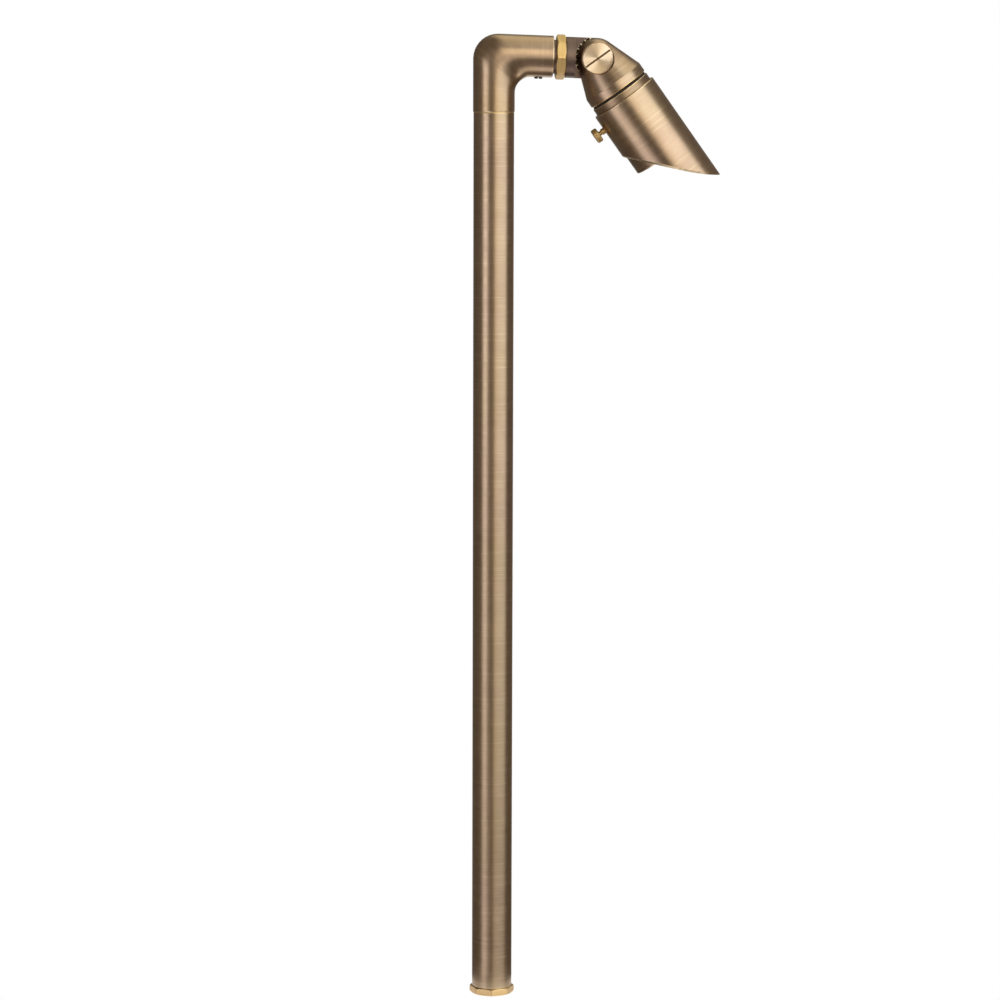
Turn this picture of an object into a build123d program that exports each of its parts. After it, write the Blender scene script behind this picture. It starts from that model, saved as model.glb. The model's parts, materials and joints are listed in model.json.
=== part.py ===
"""Directional path light: a straight stem with an elbow, a toothed knuckle and a shrouded spot head.

Millimetres. +Z is up along the stem, +X runs out along the arm. The origin is the centre of the
threaded hole in the foot bushing, on its bottom face. The arm leans down a little from square, and
the lamp axis starts at the knuckle's pivot.
"""

from build123d import *
import os
from math import cos, radians, sin, sqrt, tan

# Fits: radial or face gaps between pieces
thread_clearance = 0.05
seat_clearance = 0.02
bearing_gap = 0.05

# Stem tube
stem_od = 25.4
stem_wall = 1.65
stem_length = 558.8

# Foot bushing, with its octagon and its half inch pipe thread
bushing_flats = 26.6
bushing_flange = 4.5
bushing_spigot = 14.0
bushing_thread_radius = 9.5
bushing_turn = 8.0

# Octagons share the chamfer that rounds their corners off
octagon_chamfer_angle = 30.0
octagon_chamfer_inset = 0.35

# Elbow: leg down to the stem, arm out to the knuckle and a little down from square
elbow_od = 26.0
elbow_leg = 35.5
elbow_arm = 36.8
arm_fall = 2.0
elbow_throat_radius = 9.8
elbow_heel_radius = 15.4
elbow_spigot = 15.0
elbow_wireway = 16.0
elbow_thread_depth = 16.0
elbow_sections = 5

# Set screw under the arm
set_screw_diameter = 5.0
set_screw_from_mouth = 8.7
set_screw_proud = 0.9
set_screw_slot = 0.8

# Knuckle shank, half inch pipe thread outside, wires inside
shank_od = 20.96
shank_bore = 13.0
shank_engagement = 13.0
shank_bore_end = 2.0
grommet_length = 6.0
grommet_lead_hole = 2.2
grommet_lead_spacing = 4.6

# Lock nut on the shank
lock_nut_gap = 1.7
lock_nut_thickness = 5.8
lock_nut_flats = 26.5
lock_nut_turn = 2.75

# Knuckle body: its half ball ends and the face teeth between them
knuckle_od = 25.4
knuckle_reach = 19.8
knuckle_chamfer = 0.4
shoulder_setback = 14.0
tooth_count = 24
tooth_phase = 3.8
tooth_inner_radius = 9.2
tooth_outer_radius = 13.6
tooth_depth = 1.0
tooth_land = 0.5
face_gap = 0.1

# Wireway through the knuckle's two faces, and the ring that seals it
chamber_inner_radius = 4.2
chamber_outer_radius = 6.4
chamber_depth = 4.0
drilling_diameter = 3.8
drilling_offset = 3.0
pivot_ring_radius = 7.8
pivot_ring_section = 1.4

# Pivot screw
screw_head_diameter = 19.1
screw_head_thickness = 3.2
screw_shank_diameter = 6.0
screw_slot_width = 1.2
screw_slot_depth = 1.3
screw_end_recess = 0.6
spot_face_clearance = 0.4

# Head: lamp axis below level, and the cap's cone
lamp_drop = 54.5
cap_flank = 20.3
cap_corner_radius = 1.6
cap_rim = 5.6
cap_floor = 6.0
spigot_wall = 2.0
spigot_length = 10.0
ring_groove = 1.5
ring_section = 1.4

# Socket on its bracket
bracket_thickness = 1.0
bracket_width = 11.0
bracket_end_gap = 0.6
bracket_screw_diameter = 3.0
bracket_screw_radius = 12.0
bracket_screw_length = 4.2
bracket_head_diameter = 5.0
bracket_head_height = 1.6
bracket_wire_hole = 7.0
socket_diameter = 15.0
socket_height = 10.0
socket_flat_width = 11.0
contact_diameter = 2.2
contact_bore = 1.06
contact_length = 7.0

# Two-pin lamp, 35 mm across
lamp_diameter = 35.0
lamp_length = 34.0
lamp_base_diameter = 12.0
lamp_base_length = 9.0
lamp_shell = 1.4
lamp_rim = 2.6
lamp_glass = 1.4
pin_diameter = 1.0
pin_length = 6.0
pin_spacing = 4.0
capsule_diameter = 6.0
capsule_length = 10.0

# Barrel and what closes its mouth
lamp_clearance = 0.45
barrel_wall = 2.15
barrel_lip = 1.5
barrel_lip_depth = 1.7
gasket_thickness = 1.0
lens_thickness = 3.0
retainer_thickness = 2.5
retainer_wall = 1.6
lens_to_lamp = 0.5

# Glare shroud: lengths of its short and long sides from its rear edge
shroud_clearance = 0.3
shroud_wall = 1.4
collar_length = 4.5
shroud_short = 30.3
shroud_long = 74.7
cut_angle = 47.7
cut_straight = 36.0
shroud_rear_chamfer = 0.5

# Thumb screw through the shroud
thumb_from_rear = 9.9
thumb_thread_diameter = 4.0
thumb_neck_diameter = 2.9
thumb_neck_length = 1.7
thumb_head_diameter = 9.3
thumb_head_thickness = 3.7
thumb_head_gap = 3.8
thumb_head_chamfer = 0.45

small_chamfer = 0.3

# Places along the stem and the arm
seam_z = bushing_flange + stem_length
arm_z = seam_z + elbow_leg
nut_x = elbow_arm + lock_nut_gap
shoulder_x = nut_x + lock_nut_thickness + bearing_gap
pivot_x = shoulder_x + knuckle_reach
stem_bore_radius = stem_od / 2 - stem_wall
elbow_radius = elbow_od / 2
shank_radius = shank_od / 2
ball_radius = knuckle_od / 2

# The arm's axis and the direction square to it, starting on the stem's axis
arm_root = Vector(0, 0, arm_z)
arm_direction = Vector(cos(radians(arm_fall)), 0, -sin(radians(arm_fall)))
arm_up = Vector(sin(radians(arm_fall)), 0, cos(radians(arm_fall)))
arm_axis = Axis(arm_root, arm_direction)
up_axis = Axis(arm_root, arm_up)

# The lamp axis and the direction square to it, away from the stem
pivot = arm_root + arm_direction * pivot_x
lamp_direction = Vector(cos(radians(lamp_drop)), 0, -sin(radians(lamp_drop)))
upper_side = Vector(sin(radians(lamp_drop)), 0, cos(radians(lamp_drop)))
lamp_axis = Axis(pivot, lamp_direction)
pivot_axis = Axis(pivot, (0, 1, 0))

# Stations along the lamp axis, from the pivot
barrel_bore_radius = lamp_diameter / 2 + lamp_clearance
barrel_radius = barrel_bore_radius + barrel_wall
cap_corner = (barrel_radius - ball_radius / cos(radians(cap_flank))) / tan(radians(cap_flank))
cap_end = cap_corner + cap_rim
spigot_radius = barrel_bore_radius - thread_clearance
spigot_bore_radius = spigot_radius - spigot_wall
spigot_end = cap_end + spigot_length
cavity_floor = shoulder_setback + cap_floor
barrel_rear = cap_end + ring_groove
socket_back = cavity_floor + bracket_thickness
socket_front = socket_back + socket_height
lamp_back = socket_front + bearing_gap
lamp_front = lamp_back + lamp_length
retainer_back = lamp_front + lens_to_lamp
lens_back = retainer_back + retainer_thickness
gasket_back = lens_back + lens_thickness
lip_back = gasket_back + gasket_thickness
barrel_front = lip_back + barrel_lip
lip_radius = barrel_bore_radius - barrel_lip_depth
shroud_bore_radius = barrel_radius + shroud_clearance
shroud_radius = shroud_bore_radius + shroud_wall
shroud_rear = barrel_rear + collar_length

# Depths at the pivot, along Y: the face gap straddles the centre, and each ball has one flat
half_gap = face_gap / 2
spot_radius = screw_head_diameter / 2 + spot_face_clearance
spot_depth = sqrt(ball_radius**2 - spot_radius**2)
screw_hole_radius = screw_shank_diameter / 2 + thread_clearance


def across_arm(station):
    """Plane square to the arm at a station along it: its own X is the part's Y and its own Y is up."""
    return Plane(origin=arm_root + arm_direction * station, x_dir=(0, 1, 0), z_dir=arm_direction)


def across_lamp(station, turn_to_side=0.0):
    """Plane square to the lamp axis at a station; its own X points to the upper side."""
    origin = pivot + lamp_direction * station + Vector(0, turn_to_side, 0)
    return Plane(origin=origin, x_dir=upper_side, z_dir=lamp_direction)


# Half section planes. On the lamp's, X is the radius and Y the station; on the arm's it is the other way
lamp_section = Plane(origin=pivot, x_dir=upper_side, z_dir=(0, 1, 0))
arm_section = Plane(origin=arm_root, x_dir=arm_direction, z_dir=(0, -1, 0))


def octagon_corner_radius(flats):
    """Radius through the corners of an octagon, from its width across flats."""
    return flats / 2 / cos(radians(180 / 8))


def octagon_chamfer_profile(flats, thickness):
    """Half section, radius by height, that takes the corners off an octagon on both faces."""
    corner = octagon_corner_radius(flats)
    face = flats / 2 - octagon_chamfer_inset
    drop = (corner - face) * tan(radians(octagon_chamfer_angle))
    return [(0, 0), (face, 0), (corner, drop), (corner, thickness - drop), (face, thickness), (0, thickness)]


os.makedirs("parts", exist_ok=True)

# Foot bushing: octagonal flange, spigot up the stem, threaded right through
with BuildPart() as base_bushing:
    with BuildSketch():
        RegularPolygon(octagon_corner_radius(bushing_flats), 8, rotation=bushing_turn)
    extrude(amount=bushing_flange)
    with BuildSketch(Plane.XZ):
        Polygon(octagon_chamfer_profile(bushing_flats, bushing_flange), align=None)
    revolve(axis=Axis.Z, mode=Mode.INTERSECT)
    with BuildSketch(Plane.XY.offset(bushing_flange)):
        Circle(stem_bore_radius - seat_clearance)
    extrude(amount=bushing_spigot)
    with BuildSketch():
        Circle(bushing_thread_radius)
    extrude(amount=bushing_flange + bushing_spigot, mode=Mode.SUBTRACT)
base_bushing.part.label = "base_bushing"
export_step(base_bushing.part, "parts/base_bushing.step")

# Stem tube between the flange and the elbow
with BuildPart() as stem_tube:
    with BuildSketch(Plane.XY.offset(bushing_flange)):
        Circle(stem_od / 2)
        Circle(stem_bore_radius, mode=Mode.SUBTRACT)
    extrude(amount=stem_length)
stem_tube.part.label = "stem_tube"
export_step(stem_tube.part, "parts/stem_tube.step")

# Elbow: its bend is a fan of ellipses turned about the centre of the throat's round.
# Each runs from the throat out to the heel, whose corner has its own radius.
elbow_turn = 90 + arm_fall
bend_reach = (elbow_radius + elbow_throat_radius) * tan(radians(elbow_turn / 2))
bend_centre = Vector(elbow_radius + elbow_throat_radius, 0, arm_z - bend_reach)
outer_reach = elbow_throat_radius + elbow_od
heel_centre = (outer_reach - elbow_heel_radius) / cos(radians(elbow_turn / 2))


def heel_distance(angle):
    """Distance from the bend's centre to the heel, at an angle in degrees from the leg's seam."""
    off_side = radians(min(angle, elbow_turn - angle))
    if outer_reach * tan(off_side) <= heel_centre * sin(radians(elbow_turn / 2)):
        return outer_reach / cos(off_side)
    off_corner = radians(angle - elbow_turn / 2)
    return heel_centre * cos(off_corner) + sqrt(elbow_heel_radius**2 - (heel_centre * sin(off_corner)) ** 2)


with BuildPart() as elbow:
    for step in range(elbow_sections + 1):
        bend_angle = elbow_turn * step / elbow_sections
        outward = Vector(-cos(radians(bend_angle)), 0, sin(radians(bend_angle)))
        forward = Vector(sin(radians(bend_angle)), 0, cos(radians(bend_angle)))
        heel = heel_distance(bend_angle)
        middle = bend_centre + outward * (elbow_throat_radius + heel) / 2
        with BuildSketch(Plane(origin=middle, x_dir=outward, z_dir=forward)):
            Ellipse((heel - elbow_throat_radius) / 2, elbow_radius)
    loft()
    with BuildSketch(Plane.XY.offset(seam_z)):
        Circle(elbow_radius)
    extrude(amount=bend_centre.Z - seam_z)
    with BuildSketch(across_arm(bend_reach)):
        Circle(elbow_radius)
    extrude(amount=elbow_arm - bend_reach)
    mouth_edge = elbow.edges().filter_by(GeomType.CIRCLE).sort_by(arm_axis)[-1]
    chamfer(mouth_edge, small_chamfer)
    with BuildSketch(Plane.XY.offset(seam_z - elbow_spigot)):
        Circle(stem_bore_radius - seat_clearance)
    extrude(amount=elbow_spigot)
    with BuildSketch(Plane.XY.offset(seam_z - elbow_spigot)):
        Circle(elbow_wireway / 2)
    extrude(amount=elbow_spigot + elbow_leg, mode=Mode.SUBTRACT)
    with BuildSketch(across_arm(0)):
        Circle(elbow_wireway / 2)
    extrude(amount=elbow_arm, mode=Mode.SUBTRACT)
    with BuildSketch(arm_section):
        with BuildLine():
            CenterArc((0, 0), elbow_wireway / 2, 90, 180)
            Line((0, -elbow_wireway / 2), (0, elbow_wireway / 2))
        make_face()
    revolve(axis=up_axis, mode=Mode.SUBTRACT)
    with BuildSketch(across_arm(elbow_arm - elbow_thread_depth)):
        Circle(shank_radius + thread_clearance)
    extrude(amount=elbow_thread_depth, mode=Mode.SUBTRACT)
    set_screw_spot = arm_root + arm_direction * (elbow_arm - set_screw_from_mouth)
    with BuildSketch(Plane(origin=set_screw_spot, x_dir=arm_direction, z_dir=-arm_up)):
        Circle(set_screw_diameter / 2 + seat_clearance)
    extrude(amount=elbow_od, mode=Mode.SUBTRACT)
elbow.part.label = "elbow"
export_step(elbow.part, "parts/elbow.step")

# Set screw: a slotted grub screw that stands just proud of the arm
set_screw_start = shank_radius + bearing_gap
set_screw_end = elbow_radius + set_screw_proud
with BuildPart() as elbow_set_screw:
    screw_plane = Plane(origin=set_screw_spot, x_dir=arm_direction, z_dir=-arm_up)
    with BuildSketch(screw_plane.offset(set_screw_start)):
        Circle(set_screw_diameter / 2)
    extrude(amount=set_screw_end - set_screw_start)
    chamfer(elbow_set_screw.edges().group_by(up_axis)[0], small_chamfer)
    with BuildSketch(screw_plane.offset(set_screw_end - set_screw_proud)):
        Rectangle(set_screw_slot, set_screw_diameter)
    extrude(amount=set_screw_proud, mode=Mode.SUBTRACT)
elbow_set_screw.part.label = "elbow_set_screw"
export_step(elbow_set_screw.part, "parts/elbow_set_screw.step")

# Lock nut on the shank, its corners taken off on both faces
with BuildPart() as lock_nut:
    with BuildSketch(across_arm(nut_x)):
        RegularPolygon(octagon_corner_radius(lock_nut_flats), 8, rotation=lock_nut_turn)
    extrude(amount=lock_nut_thickness)
    with BuildSketch(arm_section):
        corner_profile = octagon_chamfer_profile(lock_nut_flats, lock_nut_thickness)
        Polygon([(nut_x + height, radius) for radius, height in corner_profile], align=None)
    revolve(axis=arm_axis, mode=Mode.INTERSECT)
    with BuildSketch(across_arm(nut_x)):
        Circle(shank_radius + thread_clearance)
    extrude(amount=lock_nut_thickness, mode=Mode.SUBTRACT)
lock_nut.part.label = "lock_nut"
export_step(lock_nut.part, "parts/lock_nut.step")

# One V gap between two face teeth: it runs out along X and widens with the radius, cut into +Z
tooth_pitch_angle = radians(360 / tooth_count)


def tooth_gap_section(radius):
    """Corners of the V at a radius: its two shoulders on the face and its root below."""
    share = radius / tooth_outer_radius
    half_width = (radius * tooth_pitch_angle - tooth_land * share) / 2
    return [(-half_width, 0), (half_width, 0), (0, tooth_depth * share)]


with BuildPart() as tooth_gap:
    for radius in (tooth_inner_radius, tooth_outer_radius):
        with BuildSketch(Plane(origin=(radius, 0, 0), x_dir=(0, 1, 0), z_dir=(1, 0, 0))):
            Polygon(tooth_gap_section(radius), align=None)
    loft(ruled=True)


def tooth_locations(face_y, side):
    """Where the V gaps go on a face square to the pivot, cut towards the given side of it."""
    spacing = 360 / tooth_count
    places = []
    for index in range(tooth_count):
        turn = radians(180 - tooth_phase + index * spacing)
        outward = (cos(turn), 0, sin(turn))
        places.append(Plane(origin=pivot + Vector(0, face_y, 0), x_dir=outward, z_dir=(0, side, 0)).location)
    return places


# Knuckle base: threaded shank, round body, and a half ball tang behind the pivot's face
with BuildPart() as knuckle_base:
    with BuildSketch(arm_section):
        with BuildLine():
            start_x = elbow_arm - shank_engagement
            Polyline(
                (start_x, 0),
                (start_x, shank_radius),
                (shoulder_x, shank_radius),
                (shoulder_x, ball_radius - knuckle_chamfer),
                (shoulder_x + knuckle_chamfer, ball_radius),
                (pivot_x, ball_radius),
            )
            CenterArc((pivot_x, 0), ball_radius, 90, -90)
            Line((pivot_x + ball_radius, 0), (start_x, 0))
        make_face()
    revolve(axis=arm_axis)
    front_half = Plane(origin=pivot + Vector(0, half_gap, 0), x_dir=arm_direction, z_dir=(0, -1, 0))
    with BuildSketch(front_half):
        with Locations((-shoulder_setback, 0)):
            Rectangle(shoulder_setback + knuckle_od, 2 * knuckle_od, align=(Align.MIN, Align.CENTER))
    extrude(amount=knuckle_od, mode=Mode.SUBTRACT)
    with Locations(*tooth_locations(half_gap, 1)):
        add(tooth_gap.part, mode=Mode.SUBTRACT)
    tang_face = Plane(origin=pivot + Vector(0, half_gap, 0), x_dir=arm_direction, z_dir=(0, 1, 0))
    with BuildSketch(tang_face):
        Circle(chamber_outer_radius)
        Circle(chamber_inner_radius, mode=Mode.SUBTRACT)
    extrude(amount=chamber_depth, mode=Mode.SUBTRACT)
    with BuildSketch(tang_face):
        Circle(screw_hole_radius)
    extrude(amount=knuckle_od, mode=Mode.SUBTRACT)
    with BuildSketch(tang_face.offset(spot_depth - half_gap)):
        Circle(spot_radius)
    extrude(amount=knuckle_od, mode=Mode.SUBTRACT)
    shank_bore_stop = pivot_x - shoulder_setback - shank_bore_end
    with BuildSketch(across_arm(start_x)):
        Circle(shank_bore / 2)
    extrude(amount=shank_bore_stop - start_x, mode=Mode.SUBTRACT)
    with BuildSketch(across_arm(shank_bore_stop)):
        with Locations((drilling_offset, 0)):
            Circle(drilling_diameter / 2)
    extrude(amount=pivot_x - chamber_inner_radius - shank_bore_stop, mode=Mode.SUBTRACT)
knuckle_base.part.label = "knuckle_base"
export_step(knuckle_base.part, "parts/knuckle_base.step")

# Grommet in the shank's inner end, with a hole for each lead
with BuildPart() as wire_grommet:
    with BuildSketch(across_arm(start_x)):
        Circle(shank_bore / 2 - seat_clearance)
        with Locations((0, grommet_lead_spacing / 2), (0, -grommet_lead_spacing / 2)):
            Circle(grommet_lead_hole / 2, mode=Mode.SUBTRACT)
    extrude(amount=grommet_length)
wire_grommet.part.label = "wire_grommet"
export_step(wire_grommet.part, "parts/wire_grommet.step")

# Lamp cap: half ball ear, cone, rim, and the spigot that the barrel screws on
with BuildPart() as lamp_cap:
    with BuildSketch(lamp_section):
        with BuildLine():
            nose = CenterArc((0, 0), ball_radius, -90, 90 - cap_flank)
            flank = FilletPolyline(
                nose @ 1,
                (barrel_radius, cap_corner),
                (barrel_radius, cap_end - small_chamfer),
                radius=cap_corner_radius,
            )
            Polyline(
                flank @ 1,
                (barrel_radius - small_chamfer, cap_end),
                (spigot_radius, cap_end),
                (spigot_radius, spigot_end),
                (spigot_bore_radius, spigot_end),
                (spigot_bore_radius, cavity_floor),
                (0, cavity_floor),
                nose @ 0,
            )
        make_face()
    revolve(axis=lamp_axis)
    back_half = Plane(origin=pivot - Vector(0, half_gap, 0), x_dir=upper_side, z_dir=(0, 1, 0))
    with BuildSketch(back_half):
        with Locations((0, shoulder_setback)):
            Rectangle(4 * knuckle_od, 2 * knuckle_od, align=(Align.CENTER, Align.MAX))
    extrude(amount=2 * knuckle_od, mode=Mode.SUBTRACT)
    with Locations(*tooth_locations(-half_gap, -1)):
        add(tooth_gap.part, mode=Mode.SUBTRACT)
    ear_face = Plane(origin=pivot - Vector(0, half_gap, 0), x_dir=(1, 0, 0), z_dir=(0, -1, 0))
    with BuildSketch(ear_face):
        Circle(chamber_outer_radius)
        Circle(chamber_inner_radius, mode=Mode.SUBTRACT)
    extrude(amount=chamber_depth, mode=Mode.SUBTRACT)
    with BuildSketch(ear_face):
        Circle(pivot_ring_radius + pivot_ring_section / 2 + bearing_gap)
        Circle(pivot_ring_radius - pivot_ring_section / 2 - bearing_gap, mode=Mode.SUBTRACT)
    extrude(amount=pivot_ring_section, mode=Mode.SUBTRACT)
    with BuildSketch(ear_face):
        Circle(screw_hole_radius)
    extrude(amount=knuckle_od, mode=Mode.SUBTRACT)
    with BuildSketch(ear_face.offset(spot_depth - half_gap)):
        Circle(spot_radius)
    extrude(amount=knuckle_od, mode=Mode.SUBTRACT)
    with BuildSketch(across_lamp(chamber_inner_radius, -drilling_offset)):
        Circle(drilling_diameter / 2)
    extrude(amount=cavity_floor - chamber_inner_radius, mode=Mode.SUBTRACT)
    with BuildSketch(across_lamp(cavity_floor - bracket_screw_length - small_chamfer)):
        with Locations((0, bracket_screw_radius), (0, -bracket_screw_radius)):
            Circle(bracket_screw_diameter / 2)
    extrude(amount=cavity_floor, mode=Mode.SUBTRACT)
lamp_cap.part.label = "lamp_cap"
export_step(lamp_cap.part, "parts/lamp_cap.step")

# Ring that seals the wireway between ear and tang, in its groove in the ear
with BuildPart() as pivot_o_ring:
    ring_depth = half_gap + pivot_ring_section / 2 - seat_clearance
    with BuildSketch(Plane(origin=pivot, x_dir=(1, 0, 0), z_dir=(0, 0, 1))):
        with Locations((pivot_ring_radius, -ring_depth)):
            Circle(pivot_ring_section / 2 - seat_clearance)
    revolve(axis=pivot_axis)
pivot_o_ring.part.label = "pivot_o_ring"
export_step(pivot_o_ring.part, "parts/pivot_o_ring.step")

# Pivot screw: slotted disc head, shank through the ear into the tang
with BuildPart() as pivot_screw:
    head_back = spot_depth + bearing_gap
    head_plane = Plane(origin=pivot, x_dir=upper_side, z_dir=(0, -1, 0))
    with BuildSketch(head_plane.offset(head_back)):
        Circle(screw_head_diameter / 2)
    extrude(amount=screw_head_thickness)
    chamfer(pivot_screw.edges().group_by(Axis.Y)[0], small_chamfer)
    with BuildSketch(head_plane.offset(head_back)):
        Circle(screw_shank_diameter / 2)
    extrude(amount=-(head_back + spot_depth - screw_end_recess))
    chamfer(pivot_screw.edges().group_by(Axis.Y)[-1], small_chamfer)
    with BuildSketch(head_plane.offset(head_back + screw_head_thickness)):
        Rectangle(screw_head_diameter + 1, screw_slot_width)
    extrude(amount=-screw_slot_depth, mode=Mode.SUBTRACT)
pivot_screw.part.label = "pivot_screw"
export_step(pivot_screw.part, "parts/pivot_screw.step")

# Ring in the dark groove between the cap and the barrel
with BuildPart() as cap_o_ring:
    with BuildSketch(lamp_section):
        ring_centre_radius = spigot_radius + bearing_gap + ring_section / 2
        with Locations((ring_centre_radius, cap_end + ring_groove / 2)):
            Circle(ring_section / 2)
    revolve(axis=lamp_axis)
cap_o_ring.part.label = "cap_o_ring"
export_step(cap_o_ring.part, "parts/cap_o_ring.step")

# Bracket: a strip across the cavity floor, round at its ends, with a hole for the leads
with BuildPart() as socket_bracket:
    with BuildSketch(across_lamp(cavity_floor)):
        Circle(spigot_bore_radius - bracket_end_gap)
        Rectangle(bracket_width, 2 * spigot_bore_radius, mode=Mode.INTERSECT)
        with Locations((0, bracket_screw_radius), (0, -bracket_screw_radius)):
            Circle(bracket_screw_diameter / 2 + bearing_gap, mode=Mode.SUBTRACT)
        Circle(bracket_wire_hole / 2, mode=Mode.SUBTRACT)
    extrude(amount=bracket_thickness)
socket_bracket.part.label = "socket_bracket"
export_step(socket_bracket.part, "parts/socket_bracket.step")

# Two pan head screws hold the bracket
with BuildPart() as bracket_screws:
    screw_spots = [(0, bracket_screw_radius), (0, -bracket_screw_radius)]
    with BuildSketch(across_lamp(cavity_floor - bracket_screw_length)):
        with Locations(*screw_spots):
            Circle(bracket_screw_diameter / 2 - seat_clearance)
    extrude(amount=bracket_screw_length + bracket_thickness)
    with BuildSketch(across_lamp(cavity_floor + bracket_thickness)):
        with Locations(*screw_spots):
            Circle(bracket_head_diameter / 2)
    extrude(amount=bracket_head_height)
bracket_screws.part.label = "bracket_screws"
export_step(bracket_screws.part, "parts/bracket_screws.step")

# Ceramic socket, flat on two sides, bored for its two contacts
pin_spots = [(0, pin_spacing / 2), (0, -pin_spacing / 2)]
with BuildPart() as lamp_socket:
    with BuildSketch(across_lamp(socket_back)):
        Circle(socket_diameter / 2)
        Rectangle(socket_diameter, socket_flat_width, mode=Mode.INTERSECT)
        with Locations(*pin_spots):
            Circle(contact_diameter / 2 + seat_clearance, mode=Mode.SUBTRACT)
    extrude(amount=socket_height)
lamp_socket.part.label = "lamp_socket"
export_step(lamp_socket.part, "parts/lamp_socket.step")

# Contact sleeves flush with the socket's front
with BuildPart() as socket_contacts:
    with BuildSketch(across_lamp(socket_front - contact_length)):
        with Locations(*pin_spots):
            Circle(contact_diameter / 2)
            Circle(contact_bore / 2, mode=Mode.SUBTRACT)
    extrude(amount=contact_length)
socket_contacts.part.label = "socket_contacts"
export_step(socket_contacts.part, "parts/socket_contacts.step")

# Lamp reflector: solid base, curved bowl and a straight rim with a seat for its glass
bowl_start = lamp_back + lamp_base_length
rim_back = lamp_front - lamp_rim
lamp_radius = lamp_diameter / 2
base_radius = lamp_base_diameter / 2
with BuildPart() as lamp_reflector:
    with BuildSketch(lamp_section):
        with BuildLine():
            bowl_reach = lamp_radius - base_radius
            bowl_height = rim_back - bowl_start
            turns = [radians(turn) for turn in (0, 30, 60, 90)]
            outer_bowl = Polyline(
                [(base_radius + bowl_reach * sin(turn), rim_back - bowl_height * cos(turn)) for turn in turns]
            )
            inner_bowl = EllipticalCenterArc(
                (base_radius - lamp_shell, rim_back), bowl_reach, bowl_height - lamp_shell, -90, arc_size=90
            )
            Polyline(outer_bowl @ 1, (lamp_radius, lamp_front), (lamp_radius - lamp_shell, lamp_front))
            Line((lamp_radius - lamp_shell, lamp_front), inner_bowl @ 1)
            Line(inner_bowl @ 0, (0, bowl_start + lamp_shell))
            Polyline((0, bowl_start + lamp_shell), (0, lamp_back), (base_radius, lamp_back), outer_bowl @ 0)
        make_face()
    revolve(axis=lamp_axis)
    with BuildSketch(across_lamp(lamp_back)):
        with Locations(*pin_spots):
            Circle(pin_diameter / 2 + seat_clearance)
    extrude(amount=pin_length / 2, mode=Mode.SUBTRACT)
lamp_reflector.part.label = "lamp_reflector"
export_step(lamp_reflector.part, "parts/lamp_reflector.step")

# Capsule that stands on the bowl's floor
with BuildPart() as lamp_capsule:
    capsule_radius = capsule_diameter / 2
    with BuildSketch(lamp_section):
        with BuildLine():
            capsule_base = bowl_start + lamp_shell
            dome_start = capsule_base + capsule_length - capsule_radius
            Polyline((0, capsule_base), (capsule_radius, capsule_base), (capsule_radius, dome_start))
            CenterArc((0, dome_start), capsule_radius, 0, 90)
            Line((0, dome_start + capsule_radius), (0, capsule_base))
        make_face()
    revolve(axis=lamp_axis)
lamp_capsule.part.label = "lamp_capsule"
export_step(lamp_capsule.part, "parts/lamp_capsule.step")

# Lamp pins: half their length is held in the lamp's base
with BuildPart() as lamp_pins:
    with BuildSketch(across_lamp(lamp_back - pin_length)):
        with Locations(*pin_spots):
            Circle(pin_diameter / 2)
    extrude(amount=pin_length * 3 / 2)
lamp_pins.part.label = "lamp_pins"
export_step(lamp_pins.part, "parts/lamp_pins.step")

# The lamp's own cover glass, inside its rim
with BuildPart() as lamp_front_glass:
    with BuildSketch(across_lamp(lamp_front - lamp_glass)):
        Circle(lamp_radius - lamp_shell - seat_clearance)
    extrude(amount=lamp_glass)
lamp_front_glass.part.label = "lamp_front_glass"
export_step(lamp_front_glass.part, "parts/lamp_front_glass.step")

# Barrel: a turned tube with a lip at its mouth
with BuildPart() as barrel:
    with BuildSketch(lamp_section):
        Polygon(
            (barrel_bore_radius, barrel_rear),
            (barrel_radius - small_chamfer, barrel_rear),
            (barrel_radius, barrel_rear + small_chamfer),
            (barrel_radius, barrel_front - small_chamfer),
            (barrel_radius - small_chamfer, barrel_front),
            (lip_radius, barrel_front),
            (lip_radius, lip_back),
            (barrel_bore_radius, lip_back),
            align=None,
        )
    revolve(axis=lamp_axis)
barrel.part.label = "barrel"
export_step(barrel.part, "parts/barrel.step")

# Flat gasket against the lip
with BuildPart() as lens_gasket:
    with BuildSketch(across_lamp(gasket_back)):
        Circle(barrel_bore_radius - seat_clearance)
        Circle(lip_radius, mode=Mode.SUBTRACT)
    extrude(amount=gasket_thickness)
lens_gasket.part.label = "lens_gasket"
export_step(lens_gasket.part, "parts/lens_gasket.step")

# Clear lens
with BuildPart() as lens:
    with BuildSketch(across_lamp(lens_back)):
        Circle(barrel_bore_radius - seat_clearance)
    extrude(amount=lens_thickness)
lens.part.label = "lens"
export_step(lens.part, "parts/lens.step")

# Threaded ring behind the lens
with BuildPart() as lens_retainer:
    with BuildSketch(across_lamp(retainer_back)):
        Circle(barrel_bore_radius - seat_clearance)
        Circle(barrel_bore_radius - retainer_wall, mode=Mode.SUBTRACT)
    extrude(amount=retainer_thickness)
lens_retainer.part.label = "lens_retainer"
export_step(lens_retainer.part, "parts/lens_retainer.step")

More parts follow.
